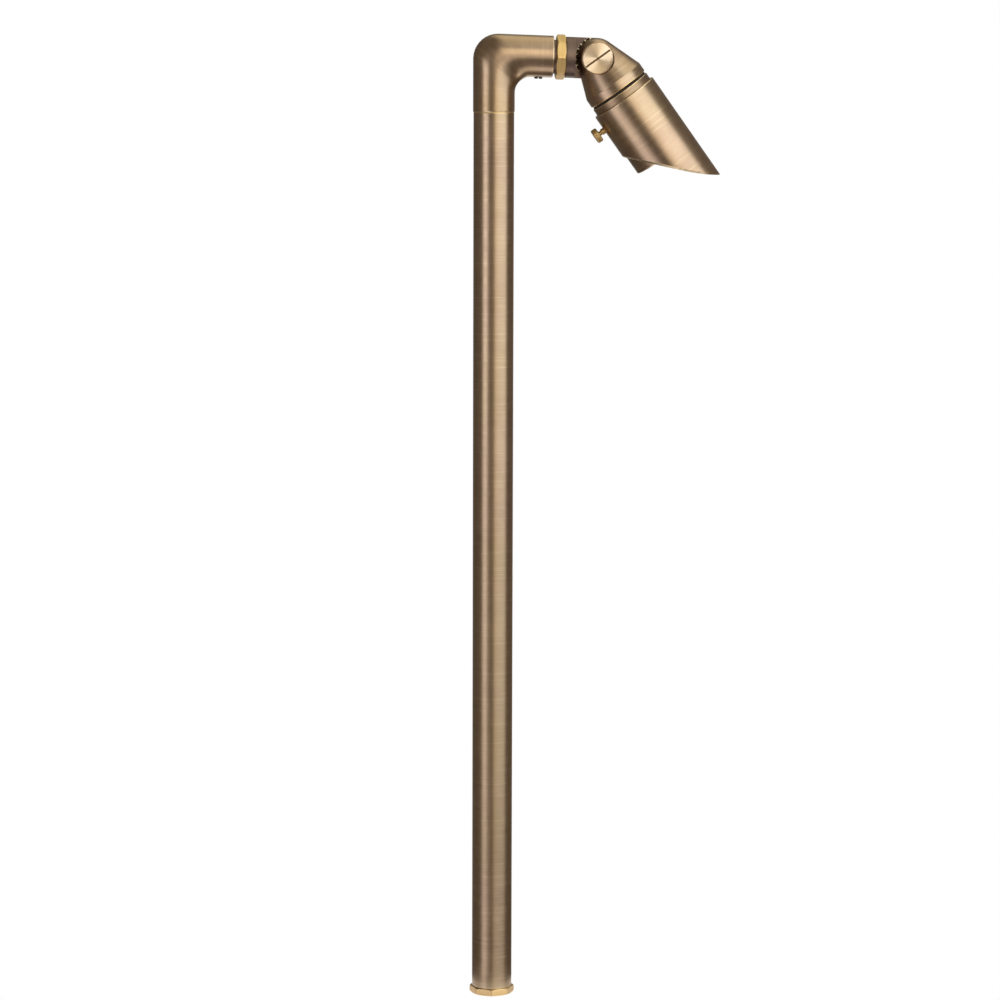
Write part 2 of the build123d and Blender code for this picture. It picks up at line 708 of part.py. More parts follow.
# Glare shroud: a tube whose front is cut straight from its short side, then eases to the tip
with BuildPart() as glare_shroud:
    with BuildSketch(across_lamp(shroud_rear)):
        Circle(shroud_radius)
    extrude(amount=shroud_long)
    rear_edge = glare_shroud.edges().filter_by(GeomType.CIRCLE).sort_by(lamp_axis)[0]
    chamfer(rear_edge, shroud_rear_chamfer)
    with BuildSketch(across_lamp(shroud_rear)):
        Circle(shroud_bore_radius)
    extrude(amount=shroud_long, mode=Mode.SUBTRACT)
    with BuildSketch(lamp_section):
        with BuildLine():
            short_end = (-shroud_radius, shroud_rear + shroud_short)
            tip = (shroud_radius, shroud_rear + shroud_long)
            straight = PolarLine(short_end, cut_straight, cut_angle)
            ease = TangentArc(straight @ 1, tip, tangent=straight % 1)
            beyond = tip[1] + shroud_radius
            Polyline(ease @ 1, (2 * shroud_radius, tip[1]), (2 * shroud_radius, beyond))
            Polyline((2 * shroud_radius, beyond), (-2 * shroud_radius, beyond))
            Polyline((-2 * shroud_radius, beyond), (-2 * shroud_radius, short_end[1]), short_end)
        make_face()
    extrude(amount=2 * shroud_radius, both=True, mode=Mode.SUBTRACT)
    thumb_station = shroud_rear + thumb_from_rear
    thumb_root = pivot + lamp_direction * thumb_station
    thumb_plane = Plane(origin=thumb_root, x_dir=lamp_direction, z_dir=-upper_side)
    with BuildSketch(thumb_plane):
        Circle(thumb_thread_diameter / 2 + thread_clearance)
    extrude(amount=2 * shroud_radius, mode=Mode.SUBTRACT)
glare_shroud.part.label = "glare_shroud"
export_step(glare_shroud.part, "parts/glare_shroud.step")

# Thumb screw: thread through the wall to the barrel, thin neck, disc head
thumb_axis = Axis(thumb_root, -upper_side)
thumb_head_start = shroud_radius + thumb_head_gap
thumb_head_end = thumb_head_start + thumb_head_thickness
thumb_head_radius = thumb_head_diameter / 2
with BuildPart() as thumb_screw:
    with BuildSketch(Plane(origin=thumb_root, x_dir=lamp_direction, z_dir=(0, -1, 0))):
        thread_radius = thumb_thread_diameter / 2
        neck_start = thumb_head_start - thumb_neck_length
        profile = [
            (0, barrel_radius + bearing_gap),
            (thread_radius, barrel_radius + bearing_gap),
            (thread_radius, neck_start),
            (thumb_neck_diameter / 2, neck_start),
            (thumb_neck_diameter / 2, thumb_head_start),
            (thumb_head_radius - thumb_head_chamfer, thumb_head_start),
            (thumb_head_radius, thumb_head_start + thumb_head_chamfer),
            (thumb_head_radius, thumb_head_end - thumb_head_chamfer),
            (thumb_head_radius - thumb_head_chamfer, thumb_head_end),
            (0, thumb_head_end),
        ]
        Polygon([(radius, -height) for radius, height in profile], align=None)
    revolve(axis=thumb_axis)
thumb_screw.part.label = "thumb_screw"
export_step(thumb_screw.part, "parts/thumb_screw.step")
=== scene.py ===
"""Looks of a directional path light: stem, elbow, toothed knuckle and shrouded head.

Lengths in this file are millimetres, and meshes are written in metres. Every new surface is a grid of
points over two parameters: a place along a closed profile and an angle round an axis.
"""

from __future__ import annotations

import json
import logging
from dataclasses import dataclass, field, replace
from enum import Enum
from math import cos, pi, radians, sin, tan

import bmesh
import bpy
import numpy as np
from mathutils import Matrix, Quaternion, Vector

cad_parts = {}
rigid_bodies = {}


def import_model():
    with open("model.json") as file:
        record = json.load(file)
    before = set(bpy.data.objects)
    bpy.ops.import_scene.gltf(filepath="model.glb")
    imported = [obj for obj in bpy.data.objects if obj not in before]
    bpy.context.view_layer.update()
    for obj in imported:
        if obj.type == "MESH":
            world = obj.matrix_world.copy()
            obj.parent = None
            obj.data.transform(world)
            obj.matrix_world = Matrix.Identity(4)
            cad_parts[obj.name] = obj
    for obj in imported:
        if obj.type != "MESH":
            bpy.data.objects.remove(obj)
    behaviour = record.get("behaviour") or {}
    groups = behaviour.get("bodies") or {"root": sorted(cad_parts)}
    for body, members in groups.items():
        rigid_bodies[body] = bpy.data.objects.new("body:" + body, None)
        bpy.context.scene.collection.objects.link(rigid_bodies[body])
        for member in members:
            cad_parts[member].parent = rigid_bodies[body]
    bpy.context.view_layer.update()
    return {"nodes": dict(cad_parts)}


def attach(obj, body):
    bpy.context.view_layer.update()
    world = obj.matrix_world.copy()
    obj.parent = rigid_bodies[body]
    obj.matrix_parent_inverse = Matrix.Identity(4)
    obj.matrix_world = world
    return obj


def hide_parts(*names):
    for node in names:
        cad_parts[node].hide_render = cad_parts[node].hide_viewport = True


LOG = logging.getLogger("path_light")
MM = 0.001
ARC_STEPS = 4
WHITE = (1.0, 1.0, 1.0, 1.0)
Array = np.ndarray
Triple = tuple[float, float, float]
Corner = tuple["float | Array", "float | Array"]
Socket = bpy.types.NodeSocket
Material = bpy.types.Material


class Slot(Enum):
    """Material slots of the record, one passed with each new piece."""

    AGED_BRASS = "aged_brass"
    RAW_BRASS = "raw_brass"


class Body(Enum):
    """Rigid bodies that the new pieces ride on."""

    STEM = "stem"
    LOCK_NUT = "lock_nut"
    BARREL = "barrel"
    SHROUD = "shroud"
    THUMB_SCREW = "thumb_screw"


class Grain(Enum):
    """Where a finish reads the direction of its tool marks."""

    PIECE = "attributes written on the piece's own surface"
    AXLE = "rings round a fixed turning axis"


@dataclass(frozen=True)
class Axle:
    """A turning axis with the two directions square to it.

    Attributes:
        origin: a point on the axis.
        along: unit direction of the axis.
        side: unit direction square to it, where the angle is zero.
    """

    origin: Triple
    along: Triple
    side: Triple

    def other(self) -> Array:
        """Return the direction at a quarter turn from the side."""
        return np.cross(self.along, self.side)

    def turn(self, profile: Array, angles: Array) -> Array:
        """Carry a profile round the axis.

        A point is origin + station x along + radius x (cos(angle) x side + sin(angle) x other).

        Args:
            profile: radius and station, as (rows, 2) or, where they change with the angle, (rows, angles, 2).
            angles: angles in radians.

        Returns:
            Points as (rows, angles, 3).
        """
        if profile.ndim == 2:
            profile = np.repeat(profile[:, None, :], len(angles), axis=1)
        radius, station = profile[..., 0:1], profile[..., 1:2]
        spoke = np.cos(angles)[:, None] * np.array(self.side) + np.sin(angles)[:, None] * self.other()
        return np.array(self.origin) + station * np.array(self.along) + radius * spoke[None]


def ring_angles(count: int, start: float = 0.0) -> Array:
    """Return evenly spaced angles of a full turn, in radians."""
    return start + 2 * pi * np.arange(count) / count


def section(*corners: Corner) -> Array:
    """Stack corners of radius and station, each one number or one for each angle.

    Args:
        *corners: radius and station of each corner, in order.

    Returns:
        Corners as (count, 2) or, where a value changes with the angle, (count, angles, 2).
    """
    values = np.stack(np.broadcast_arrays(*(value for corner in corners for value in corner)))
    return np.moveaxis(values.reshape((len(corners), 2) + values.shape[1:]), 1, -1)


def rounded_loop(
    corners: Array, radii: tuple[float, ...], support: float | tuple[float, ...]
) -> tuple[Array, Array]:
    """Round the corners of a closed loop with arcs.

    An arc leaves its corner's two sides at the tangent length r / tan(half the corner's angle), and its
    points are blended on the circle between those two. A point just beyond each end keeps the flats flat.

    Args:
        corners: corner points as (count, ..., 2); the loop runs on from the last to the first.
        radii: arc radius of each corner.
        support: distance of the points beyond the arc's ends, one number or one for each corner.

    Returns:
        The loop's points, and for each row 1.0 on an arc and 0.0 beside it.
    """
    column = (-1,) + (1,) * (corners.ndim - 1)
    size = np.reshape(radii, column)
    beyond = np.reshape(np.broadcast_to(support, len(corners)), column)
    before = np.roll(corners, 1, axis=0) - corners
    after = np.roll(corners, -1, axis=0) - corners
    long_before = np.linalg.norm(before, axis=-1, keepdims=True)
    long_after = np.linalg.norm(after, axis=-1, keepdims=True)
    before, after = before / long_before, after / long_after
    half = np.arccos(np.clip((before * after).sum(-1, keepdims=True), -0.999999, 0.999999)) / 2
    reach = size / np.tan(half)
    middle = before + after
    centre = corners + middle / np.linalg.norm(middle, axis=-1, keepdims=True) * size / np.sin(half)
    first, last = corners + before * reach - centre, corners + after * reach - centre
    sweep = (pi - 2 * half)[:, None]
    share = np.linspace(0, 1, ARC_STEPS).reshape((1, -1) + (1,) * (corners.ndim - 1))
    blend = np.sin((1 - share) * sweep) * first[:, None] + np.sin(share * sweep) * last[:, None]
    arcs = centre[:, None] + blend / np.sin(sweep)
    room_before = np.minimum(beyond, 0.2 * np.maximum(long_before - reach, 0))
    room_after = np.minimum(beyond, 0.2 * np.maximum(long_after - reach, 0))
    head = (corners + before * (reach + room_before))[:, None]
    tail = (corners + after * (reach + room_after))[:, None]
    rows = np.concatenate([head, arcs, tail], axis=1)
    flags = np.tile(np.r_[0.0, np.ones(ARC_STEPS), 0.0], len(corners))
    return rows.reshape((-1,) + corners.shape[1:]), flags


def densified(rows: Array, flags: Array, step: float) -> tuple[Array, Array]:
    """Add points to the long runs of a closed loop, at most a step apart.

    Args:
        rows: loop points as (count, 2).
        flags: a value for each point.
        step: longest distance left between two points.

    Returns:
        The denser loop and its flags.
    """
    closed = np.vstack([rows, rows[:1]])
    marks = np.r_[flags, flags[:1]]
    run = np.r_[0, np.cumsum(np.linalg.norm(np.diff(closed, axis=0), axis=1))]
    extra = np.arange(0, run[-1], step)
    near = np.abs(extra[:, None] - run[None]).min(1) > 0.3 * step
    at = np.unique(np.r_[run[:-1], extra[near]])
    dense = np.stack([np.interp(at, run, closed[:, k]) for k in range(2)], 1)
    return dense, np.interp(at, run, marks)


def bridged(rows: Array, flags: Array, at: int, count: int = 12) -> tuple[Array, Array]:
    """Add evenly spread rows before one row of a loop.

    Args:
        rows: loop points as (rows, angles, 2).
        flags: a value for each row.
        at: index of the row.
        count: rows to add; their flags are zero.

    Returns:
        The longer loop and its flags.
    """
    share = np.linspace(0, 1, count + 2)[1:-1, None, None]
    extra = rows[at - 1] * (1 - share) + rows[at] * share
    return np.concatenate([rows[:at], extra, rows[at:]]), np.r_[flags[:at], np.zeros(count), flags[at:]]


@dataclass
class Surface:
    """A grid surface that closes on itself both ways, ready to become a piece.

    Attributes:
        name: name of the piece.
        points: grid of points in millimetres, (rows, columns, 3).
        wear_and_sheen: how far each point is on a worn edge, 0 to 1, (rows, columns); on the shroud's cut
            chamfer it is a painted reflection.
        turned: pattern coordinates: across, across and along the tool's path, (rows, columns, 3).
        drawn: direction square to the tool marks, (rows, columns, 3).
    """

    name: str
    points: Array
    wear_and_sheen: Array
    turned: Array
    drawn: Array

    def faces(self) -> Array:
        """Return the grid's four-sided faces, closed both ways, pointing outwards."""
        rows, columns = self.points.shape[:2]
        here = np.arange(rows * columns).reshape(rows, columns)
        below, right = np.roll(here, -1, axis=0), np.roll(here, -1, axis=1)
        corner = np.roll(below, -1, axis=1)
        quads = np.stack([here, right, corner, below], axis=-1).reshape(-1, 4)
        flat = self.points.reshape(-1, 3)
        a, b, c, d = (flat[quads[:, k]] for k in range(4))
        volume = (np.einsum("ij,ij->i", a, np.cross(b, c)) + np.einsum("ij,ij->i", a, np.cross(c, d))).sum()
        return quads if volume > 0 else quads[:, ::-1]

    def build(self) -> bpy.types.Object:
        """Make the mesh object, with its attributes, at the scene's origin."""
        mesh = bpy.data.meshes.new(self.name)
        mesh.from_pydata((self.points.reshape(-1, 3) * MM).tolist(), [], self.faces().tolist())
        wear_and_sheen = mesh.attributes.new("wear_and_sheen", "FLOAT", "POINT")
        wear_and_sheen.data.foreach_set("value", self.wear_and_sheen.astype(np.float32).ravel())
        for label, values in (("turned", self.turned * MM), ("drawn", self.drawn)):
            layer = mesh.attributes.new(label, "FLOAT_VECTOR", "POINT")
            layer.data.foreach_set("vector", values.astype(np.float32).ravel())
        mesh.polygons.foreach_set("use_smooth", np.ones(len(mesh.polygons), bool))
        piece = bpy.data.objects.new(self.name, mesh)
        bpy.context.scene.collection.objects.link(piece)
        weld(piece)
        return piece


def weld(piece: bpy.types.Object) -> None:
    """Merge coinciding points of a piece, as at the pole of a disc, and drop faces without area."""
    shape = bmesh.new()
    shape.from_mesh(piece.data)
    bmesh.ops.remove_doubles(shape, verts=shape.verts, dist=1e-7)
    bmesh.ops.dissolve_degenerate(shape, edges=shape.edges, dist=1e-8)
    shape.to_mesh(piece.data)
    shape.free()


def along_rows(points: Array) -> Array:
    """Return the unit direction along the profile at each point of a grid."""
    step = np.roll(points, -1, axis=0) - np.roll(points, 1, axis=0)
    return step / np.maximum(np.linalg.norm(step, axis=-1, keepdims=True), 1e-9)


def turned_surface(name: str, axle: Axle, profile: Array, flags: Array, angles: Array) -> Surface:
    """Make a surface of revolution, or one whose profile changes with the angle.

    Its tool marks are rings round the axle, so light spreads across them, along the profile.

    Args:
        name: name of the piece.
        axle: the turning axis.
        profile: closed loop of radius and station, (rows, 2) or (rows, angles, 2).
        flags: worn edge value of each row; on the shroud's cut chamfer it stands for a painted reflection.
        angles: angles of the columns, in radians.

    Returns:
        The surface.
    """
    points = axle.turn(profile, angles)
    local = points - np.array(axle.origin)
    turned = np.stack(
        [local @ np.array(axle.side), local @ axle.other(), local @ np.array(axle.along)], axis=-1
    )
    wear_and_sheen = np.repeat(flags[:, None], len(angles), axis=1)
    return Surface(name, points, wear_and_sheen, turned, along_rows(points))


class NodeSheet:
    """Short-hand for wiring a node tree."""

    def __init__(self, tree: bpy.types.NodeTree) -> None:
        """Keep the tree of a material, world or group, and clear it."""
        self.tree = tree
        tree.nodes.clear()

    def feed(self, socket: Socket, value: object) -> None:
        """Link an input to an output socket, or set its default to a number or a tuple."""
        if isinstance(value, Socket):
            self.tree.links.new(value, socket)
        else:
            socket.default_value = value

    def fill(self, node: bpy.types.Node, values: dict) -> bpy.types.Node:
        """Feed several inputs of a node, by label or by index, and return the node."""
        for key, value in values.items():
            self.feed(node.inputs[key], value)
        return node

    def add(self, kind: str, values: dict | None = None, **settings: object) -> bpy.types.Node:
        """Add a node, set its properties and feed its inputs.

        Args:
            kind: Blender's name of the node type.
            values: sockets, numbers or tuples for its inputs, by label or by index.
            **settings: properties by name.

        Returns:
            The node.
        """
        node = self.tree.nodes.new(kind)
        for key, value in settings.items():
            setattr(node, key, value)
        return self.fill(node, values or {})

    def math(self, operation: str, *inputs: object) -> Socket:
        """Add a Math node whose inputs are sockets or numbers, and return its output."""
        return self.add("ShaderNodeMath", dict(enumerate(inputs)), operation=operation).outputs[0]

    def times(self, first: object, second: object) -> Socket:
        """Multiply two sockets or numbers."""
        return self.math("MULTIPLY", first, second)

    def vector(self, operation: str, *inputs: object) -> Socket:
        """Add a Vector Math node.

        Args:
            operation: Blender's name of the operation.
            *inputs: sockets or triples, in order.

        Returns:
            Its number for a dot product or a length, and otherwise its vector.
        """
        node = self.add("ShaderNodeVectorMath", dict(enumerate(inputs)), operation=operation)
        return node.outputs["Value" if operation in ("DOT_PRODUCT", "LENGTH") else "Vector"]

    def span(
        self, value: object, low: float, high: float, to_low: float = 0.0, to_high: float = 1.0
    ) -> Socket:
        """Map a value smoothly from one range to another.

        Args:
            value: socket or number.
            low: value that gives to_low.
            high: value that gives to_high.
            to_low: result at the low end.
            to_high: result at the high end.

        Returns:
            The mapped output.
        """
        values = {"Value": value, "From Min": low, "From Max": high, "To Min": to_low, "To Max": to_high}
        return self.add("ShaderNodeMapRange", values, interpolation_type="SMOOTHSTEP").outputs["Result"]

    def blend(self, share: object, first: object, second: object) -> Socket:
        """Mix two colours.

        Args:
            share: factor, a socket or a number.
            first: colour at 0.
            second: colour at 1.

        Returns:
            The mixed colour.
        """
        return self.add("ShaderNodeMix", {0: share, 6: first, 7: second}, data_type="RGBA").outputs[2]

    def noise(self, place: object, scale: float, detail: float, roughness: float = 0.5) -> Socket:
        """Add a Noise Texture.

        Args:
            place: coordinates.
            scale: cells in a metre of the coordinates.
            detail: octaves.
            roughness: share of each octave.

        Returns:
            The noise value, 0 to 1.
        """
        values = {"Vector": place, "Scale": scale, "Detail": detail, "Roughness": roughness}
        return self.add("ShaderNodeTexNoise", values).outputs[0]

    def bump(self, height: Socket, distance: float, strength: float, under: Socket | None = None) -> Socket:
        """Turn a height into a normal.

        Args:
            height: the height.
            distance: metres for a height of one.
            strength: share of the effect.
            under: another bump's normal, below this one.

        Returns:
            The normal.
        """
        values = {"Height": height, "Distance": distance, "Strength": strength}
        if under is not None:
            values["Normal"] = under
        return self.add("ShaderNodeBump", values).outputs[0]


def linear(shade: Triple) -> tuple[float, float, float, float]:
    """Turn a display colour, 0 to 1, into a scene colour with full alpha."""
    return tuple(c / 12.92 if c <= 0.04045 else ((c + 0.055) / 1.055) ** 2.4 for c in shade) + (1.0,)


def new_material(
    name: str, kind: str = "ShaderNodeBsdfPrincipled"
) -> tuple[Material, NodeSheet, bpy.types.Node]:
    """Start a material.

    Args:
        name: its name.
        kind: type of the shader node that feeds its output.

    Returns:
        The material, its sheet and that shader node.
    """
    material = bpy.data.materials.new(name)
    material.use_nodes = True
    sheet = NodeSheet(material.node_tree)
    shader = sheet.add(kind)
    sheet.add("ShaderNodeOutputMaterial", {0: shader.outputs[0]})
    return material, sheet, shader


def new_group(name: str, inputs: dict[str, str], outputs: tuple[str, ...]) -> tuple:
    """Start a shared node group.

    Args:
        name: its name.
        inputs: "Vector" or "Float" for each input's label.
        outputs: labels of its outputs, which are numbers.

    Returns:
        Its sheet, its input node's outputs and its output node.
    """
    group = bpy.data.node_groups.new(name, "ShaderNodeTree")
    for label, kind in inputs.items():
        group.interface.new_socket(label, in_out="INPUT", socket_type=f"NodeSocket{kind}")
    for label in outputs:
        group.interface.new_socket(label, in_out="OUTPUT", socket_type="NodeSocketFloat")
    sheet = NodeSheet(group)
    return sheet, sheet.add("NodeGroupInput").outputs, sheet.add("NodeGroupOutput")


def brushing_group() -> bpy.types.NodeTree:
    """Build the shared group for tool marks that run round a turned piece.

    Noise that is stretched round the piece and fine along it gives the lines, and a coarser one the scores.
    Slow noise gives cloudy patches and, slower still, broad toned areas.

    Returns:
        The node group: Place and Fineness in; Lines, Scores, Clouds and Tones out.
    """
    labels = ("Lines", "Scores", "Clouds", "Tones")
    sheet, entry, leave = new_group("turned_brushing", {"Place": "Vector", "Fineness": "Float"}, labels)
    place = entry["Place"]
    line_cells = {0: 70.0, 1: 70.0, 2: sheet.times(1700.0, entry["Fineness"])}
    lines = sheet.vector("MULTIPLY", place, sheet.add("ShaderNodeCombineXYZ", line_cells).outputs[0])
    scores = sheet.vector("MULTIPLY", place, (26.0, 26.0, 1050.0))
    marks = (
        sheet.span(sheet.noise(lines, 1.0, 3.0, 0.65), 0.3, 0.7),
        sheet.span(sheet.noise(scores, 1.0, 3.0, 0.7), 0.5, 0.76),
        sheet.span(sheet.noise(place, 55.0, 3.0, 0.6), 0.3, 0.7),
        sheet.span(sheet.noise(place, 21.0, 2.0, 0.5), 0.35, 0.65),
    )
    sheet.fill(leave, dict(zip(labels, marks)))
    return sheet.tree


def wear_group() -> bpy.types.NodeTree:
    """Build the shared group for edges rubbed bright in patches; on the shroud's cut chamfer it paints a
    reflection.

    Returns:
        The node group: Edge, Place and Amount in; Rubbed out.
    """
    inputs = {"Edge": "Float", "Place": "Vector", "Amount": "Float"}
    sheet, entry, leave = new_group("rubbed_edges_and_sheen", inputs, ("Rubbed",))
    patchy = sheet.span(sheet.noise(entry["Place"], 420.0, 3.0, 0.6), 0.35, 0.6, 0.45, 1.0)
    sheet.fill(leave, {"Rubbed": sheet.times(sheet.times(entry["Edge"], patchy), entry["Amount"])})
    return sheet.tree


@dataclass(frozen=True)
class Zone:
    """A ring-shaped part of a piece with its own colour and roughness, for gold rim lines, painted shade and
    painted glints.

    Attributes:
        axle: the axis that it is measured from.
        reach: its inner and outer radius.
        span: its first and last station along the axis.
        shade: display colour there.
        roughness: roughness there.
        soft: width of its edges.
    """

    axle: Axle
    reach: tuple[float, float]
    span: tuple[float, float]
    shade: Triple
    roughness: float
    soft: float = 0.1

    def mask(self, sheet: NodeSheet) -> Socket:
        """Return 1 inside the zone and 0 outside, in the nodes of a material's sheet."""
        coordinates = sheet.add("ShaderNodeTexCoord").outputs["Object"]
        offset = sheet.vector("SUBTRACT", coordinates, tuple(c * MM for c in self.axle.origin))
        station = sheet.vector("DOT_PRODUCT", offset, self.axle.along)
        radius = sheet.vector("LENGTH", sheet.vector("CROSS_PRODUCT", self.axle.along, offset))
        soft = self.soft * MM
        inside = 1.0
        for value, (low, high) in ((radius, self.reach), (station, self.span)):
            inside = sheet.times(inside, sheet.span(value, low * MM - soft, low * MM))
            inside = sheet.times(inside, sheet.span(value, high * MM, high * MM + soft, 1.0, 0.0))
        return inside


@dataclass(frozen=True)
class Metal:
    """A turned and brushed metal, with rubbed edges and cloudy patina.

    Attributes:
        name: name of the material.
        body: display colour of the finish.
        dark: display colour in its darker patches and lines.
        tint: display colour of its broad toned areas.
        rubbed: display colour of rubbed edges and scores, and of the painted reflection on the shroud's cut
            chamfer.
        roughness: mean roughness.
        sheen_range: how far the lines move the roughness either way.
        streak: how much the lines change the colour.
        scoring: how much the scores change it, relative to the lines.
        patching: how much the patches and toned areas change it.
        fineness: brushing lines relative to the usual count.
        anisotropic: how far light spreads across the brushing.
        edge: how bright its edges are rubbed.
        bump: depth of the brushing, in metres.
        dish: slope of the shallow cone that facing leaves on a disc, for Grain.AXLE.
        zones: parts of the piece with another colour and roughness, among them painted shade and glints.
    """

    name: str
    body: Triple
    dark: Triple
    tint: Triple
    rubbed: Triple
    roughness: float = 0.32
    sheen_range: float = 0.04
    streak: float = 0.2
    scoring: float = 1.1
    patching: float = 0.6
    fineness: float = 1.0
    anisotropic: float = 0.3
    edge: float = 0.85
    bump: float = 0.000006
    dish: float = 0.0
    zones: tuple[Zone, ...] = ()

    def material(
        self, groups: dict[str, bpy.types.NodeTree], grain: Grain, axle: Axle | None = None
    ) -> Material:
        """Build the material.

        Args:
            groups: the shared node groups by name.
            grain: where the direction of the tool marks comes from.
            axle: the turning axis, for Grain.AXLE.

        Returns:
            The material.
        """
        material, sheet, shader = new_material(self.name)
        place, drawn, edge = self.grain_sockets(sheet, grain, axle)
        brushed = {"Place": place, "Fineness": self.fineness}
        marks = sheet.add("ShaderNodeGroup", brushed, node_tree=groups["brushing"]).outputs
        rubbed = {"Place": place, "Edge": edge, "Amount": self.edge}
        wear = sheet.add("ShaderNodeGroup", rubbed, node_tree=groups["wear"]).outputs
        tone = linear(self.body)
        for label, share, shade in (
            ("Clouds", self.patching, self.dark),
            ("Tones", self.patching, self.tint),
            ("Lines", self.streak, self.dark),
            ("Scores", self.streak * self.scoring, self.rubbed),
        ):
            tone = sheet.blend(sheet.times(marks[label], share), tone, linear(shade))
        tone = sheet.blend(wear["Rubbed"], tone, linear(self.rubbed))
        rough, smooth = self.roughness + self.sheen_range, self.roughness - self.sheen_range
        dull = sheet.span(marks["Lines"], 0.0, 1.0, rough, smooth)
        for zone in self.zones:
            mask = zone.mask(sheet)
            tone = sheet.blend(mask, tone, linear(zone.shade))
            dull = sheet.math("ADD", dull, sheet.times(mask, sheet.math("SUBTRACT", zone.roughness, dull)))
        cone = None
        if self.dish:
            radius = sheet.vector("LENGTH", sheet.vector("MULTIPLY", place, (1.0, 1.0, 0.0)))
            cone = sheet.bump(sheet.times(radius, -self.dish), 1.0, 1.0)
        normal = sheet.bump(marks["Lines"], self.bump, 0.5, cone)
        looks = {"Base Color": tone, "Metallic": 1.0, "Roughness": dull, "Anisotropic": self.anisotropic}
        sheet.fill(shader, {**looks, "Tangent": drawn, "Normal": normal})
        return material

    def grain_sockets(self, sheet: NodeSheet, grain: Grain, axle: Axle | None) -> tuple:
        """Find the pattern's place, the direction light spreads in and the edge mask.

        Args:
            sheet: the material's nodes.
            grain: where they come from.
            axle: the turning axis, for Grain.AXLE.

        Returns:
            Place socket, direction socket in world space, and edge socket or number.
        """
        ways = {"vector_type": "VECTOR", "convert_from": "OBJECT", "convert_to": "WORLD"}
        turn = sheet.add("ShaderNodeVectorTransform", **ways)
        if grain is Grain.PIECE:
            labels = ("turned", "drawn", "wear_and_sheen")
            place, drawn, edge = (sheet.add("ShaderNodeAttribute", attribute_name=label) for label in labels)
            sheet.fill(turn, {0: drawn.outputs["Vector"]})
            return place.outputs["Vector"], turn.outputs[0], edge.outputs["Fac"]
        coordinates = sheet.add("ShaderNodeTexCoord").outputs["Object"]
        offset = sheet.vector("SUBTRACT", coordinates, tuple(c * MM for c in axle.origin))
        sheet.fill(turn, {0: sheet.vector("CROSS_PRODUCT", axle.along, offset)})
        normal = sheet.add("ShaderNodeNewGeometry").outputs["Normal"]
        drawn = sheet.vector("CROSS_PRODUCT", normal, turn.outputs[0])
        sides = enumerate((axle.side, tuple(axle.other()), axle.along))
        parts = {index: sheet.vector("DOT_PRODUCT", offset, side) for index, side in sides}
        return sheet.add("ShaderNodeCombineXYZ", parts).outputs[0], drawn, 0.0


@dataclass(frozen=True)
class Moulded:
    """A rubber, silicone, ceramic or plain metal finish with a fine surface grain.

    Attributes:
        name: name of the material.
        shade: display colour.
        other: display colour of its patches.
        roughness: mean roughness.
        metallic: 1.0 for a bare metal.
        grain: cells of its grain in a metre.
        bump: depth of its grain, in metres.
    """

    name: str
    shade: Triple
    other: Triple
    roughness: float
    metallic: float = 0.0
    grain: float = 2500.0
    bump: float = 0.00002

    def material(self) -> Material:
        """Build the material."""
        material, sheet, shader = new_material(self.name)
        place = sheet.add("ShaderNodeTexCoord").outputs["Object"]
        patches = sheet.span(sheet.noise(place, 160.0, 4.0), 0.35, 0.7)
        grain = sheet.noise(place, self.grain, 3.0)
        looks = {
            "Base Color": sheet.blend(patches, linear(self.shade), linear(self.other)),
            "Roughness": sheet.span(grain, 0.3, 0.7, self.roughness - 0.06, self.roughness + 0.06),
            "Metallic": self.metallic,
            "Normal": sheet.bump(grain, self.bump, 0.6),
        }
        sheet.fill(shader, looks)
        return material


@dataclass(frozen=True)
class Glass:
    """Clear glass with a trace of haze.

    Attributes:
        name: name of the material.
        tint: display colour of what shines through.
        roughness: haze.
        haze_range: how far its patches raise the haze.
        index: index of refraction.
    """

    name: str
    tint: Triple = (0.992, 1.0, 0.996)
    roughness: float = 0.02
    haze_range: float = 0.05
    index: float = 1.47

    def material(self) -> Material:
        """Build the material."""
        material, sheet, shader = new_material(self.name)
        place = sheet.add("ShaderNodeTexCoord").outputs["Object"]
        patches = sheet.noise(place, 220.0, 4.0)
        haze = sheet.span(patches, 0.4, 0.75, self.roughness, self.roughness + self.haze_range)
        looks = {"Base Color": linear(self.tint), "Roughness": haze}
        looks |= {"Transmission Weight": 1.0, "IOR": self.index}
        sheet.fill(shader, looks)
        return material


GOLD_LINE = (0.93, 0.82, 0.60)
# Painted shade for the deep tooth valleys of the knuckle, which lie in shadow.
RECESS_SHADE = (0.42, 0.345, 0.29)
BROWN, BROWN_DARK, BROWN_TINT = (0.70, 0.605, 0.513), (0.595, 0.503, 0.428), (0.67, 0.592, 0.468)
AGED = Metal("brown_brass_brushed", BROWN, BROWN_DARK, BROWN_TINT, (0.88, 0.80, 0.66), streak=0.25)
CAST = replace(AGED, name="brown_brass_cast", tint=(0.67, 0.575, 0.42), streak=0.17, fineness=1.3)
# A darker copy of the brown brass: painted shade on the barrel's front, which faces down and away from the
# light.
SHADED_WALL = replace(
    AGED,
    name="brown_brass_wall_shaded",
    body=(0.62, 0.53, 0.44),
    dark=(0.54, 0.45, 0.37),
    tint=(0.60, 0.51, 0.39),
    roughness=0.38,
)
BRONZE = Metal(
    "dark_bronze_satin", (0.47, 0.40, 0.37), (0.39, 0.33, 0.31), (0.45, 0.385, 0.33), (0.66, 0.56, 0.47), 0.45
)
RAW = Metal(
    "yellow_brass_turned",
    body=(0.86, 0.735, 0.51),
    dark=(0.77, 0.63, 0.40),
    tint=(0.83, 0.71, 0.46),
    rubbed=(0.97, 0.88, 0.69),
    roughness=0.44,
    streak=0.26,
)
FOOT = replace(
    RAW, name="yellow_brass_foot", body=(0.82, 0.69, 0.51), dark=(0.72, 0.59, 0.41), tint=(0.79, 0.67, 0.48)
)
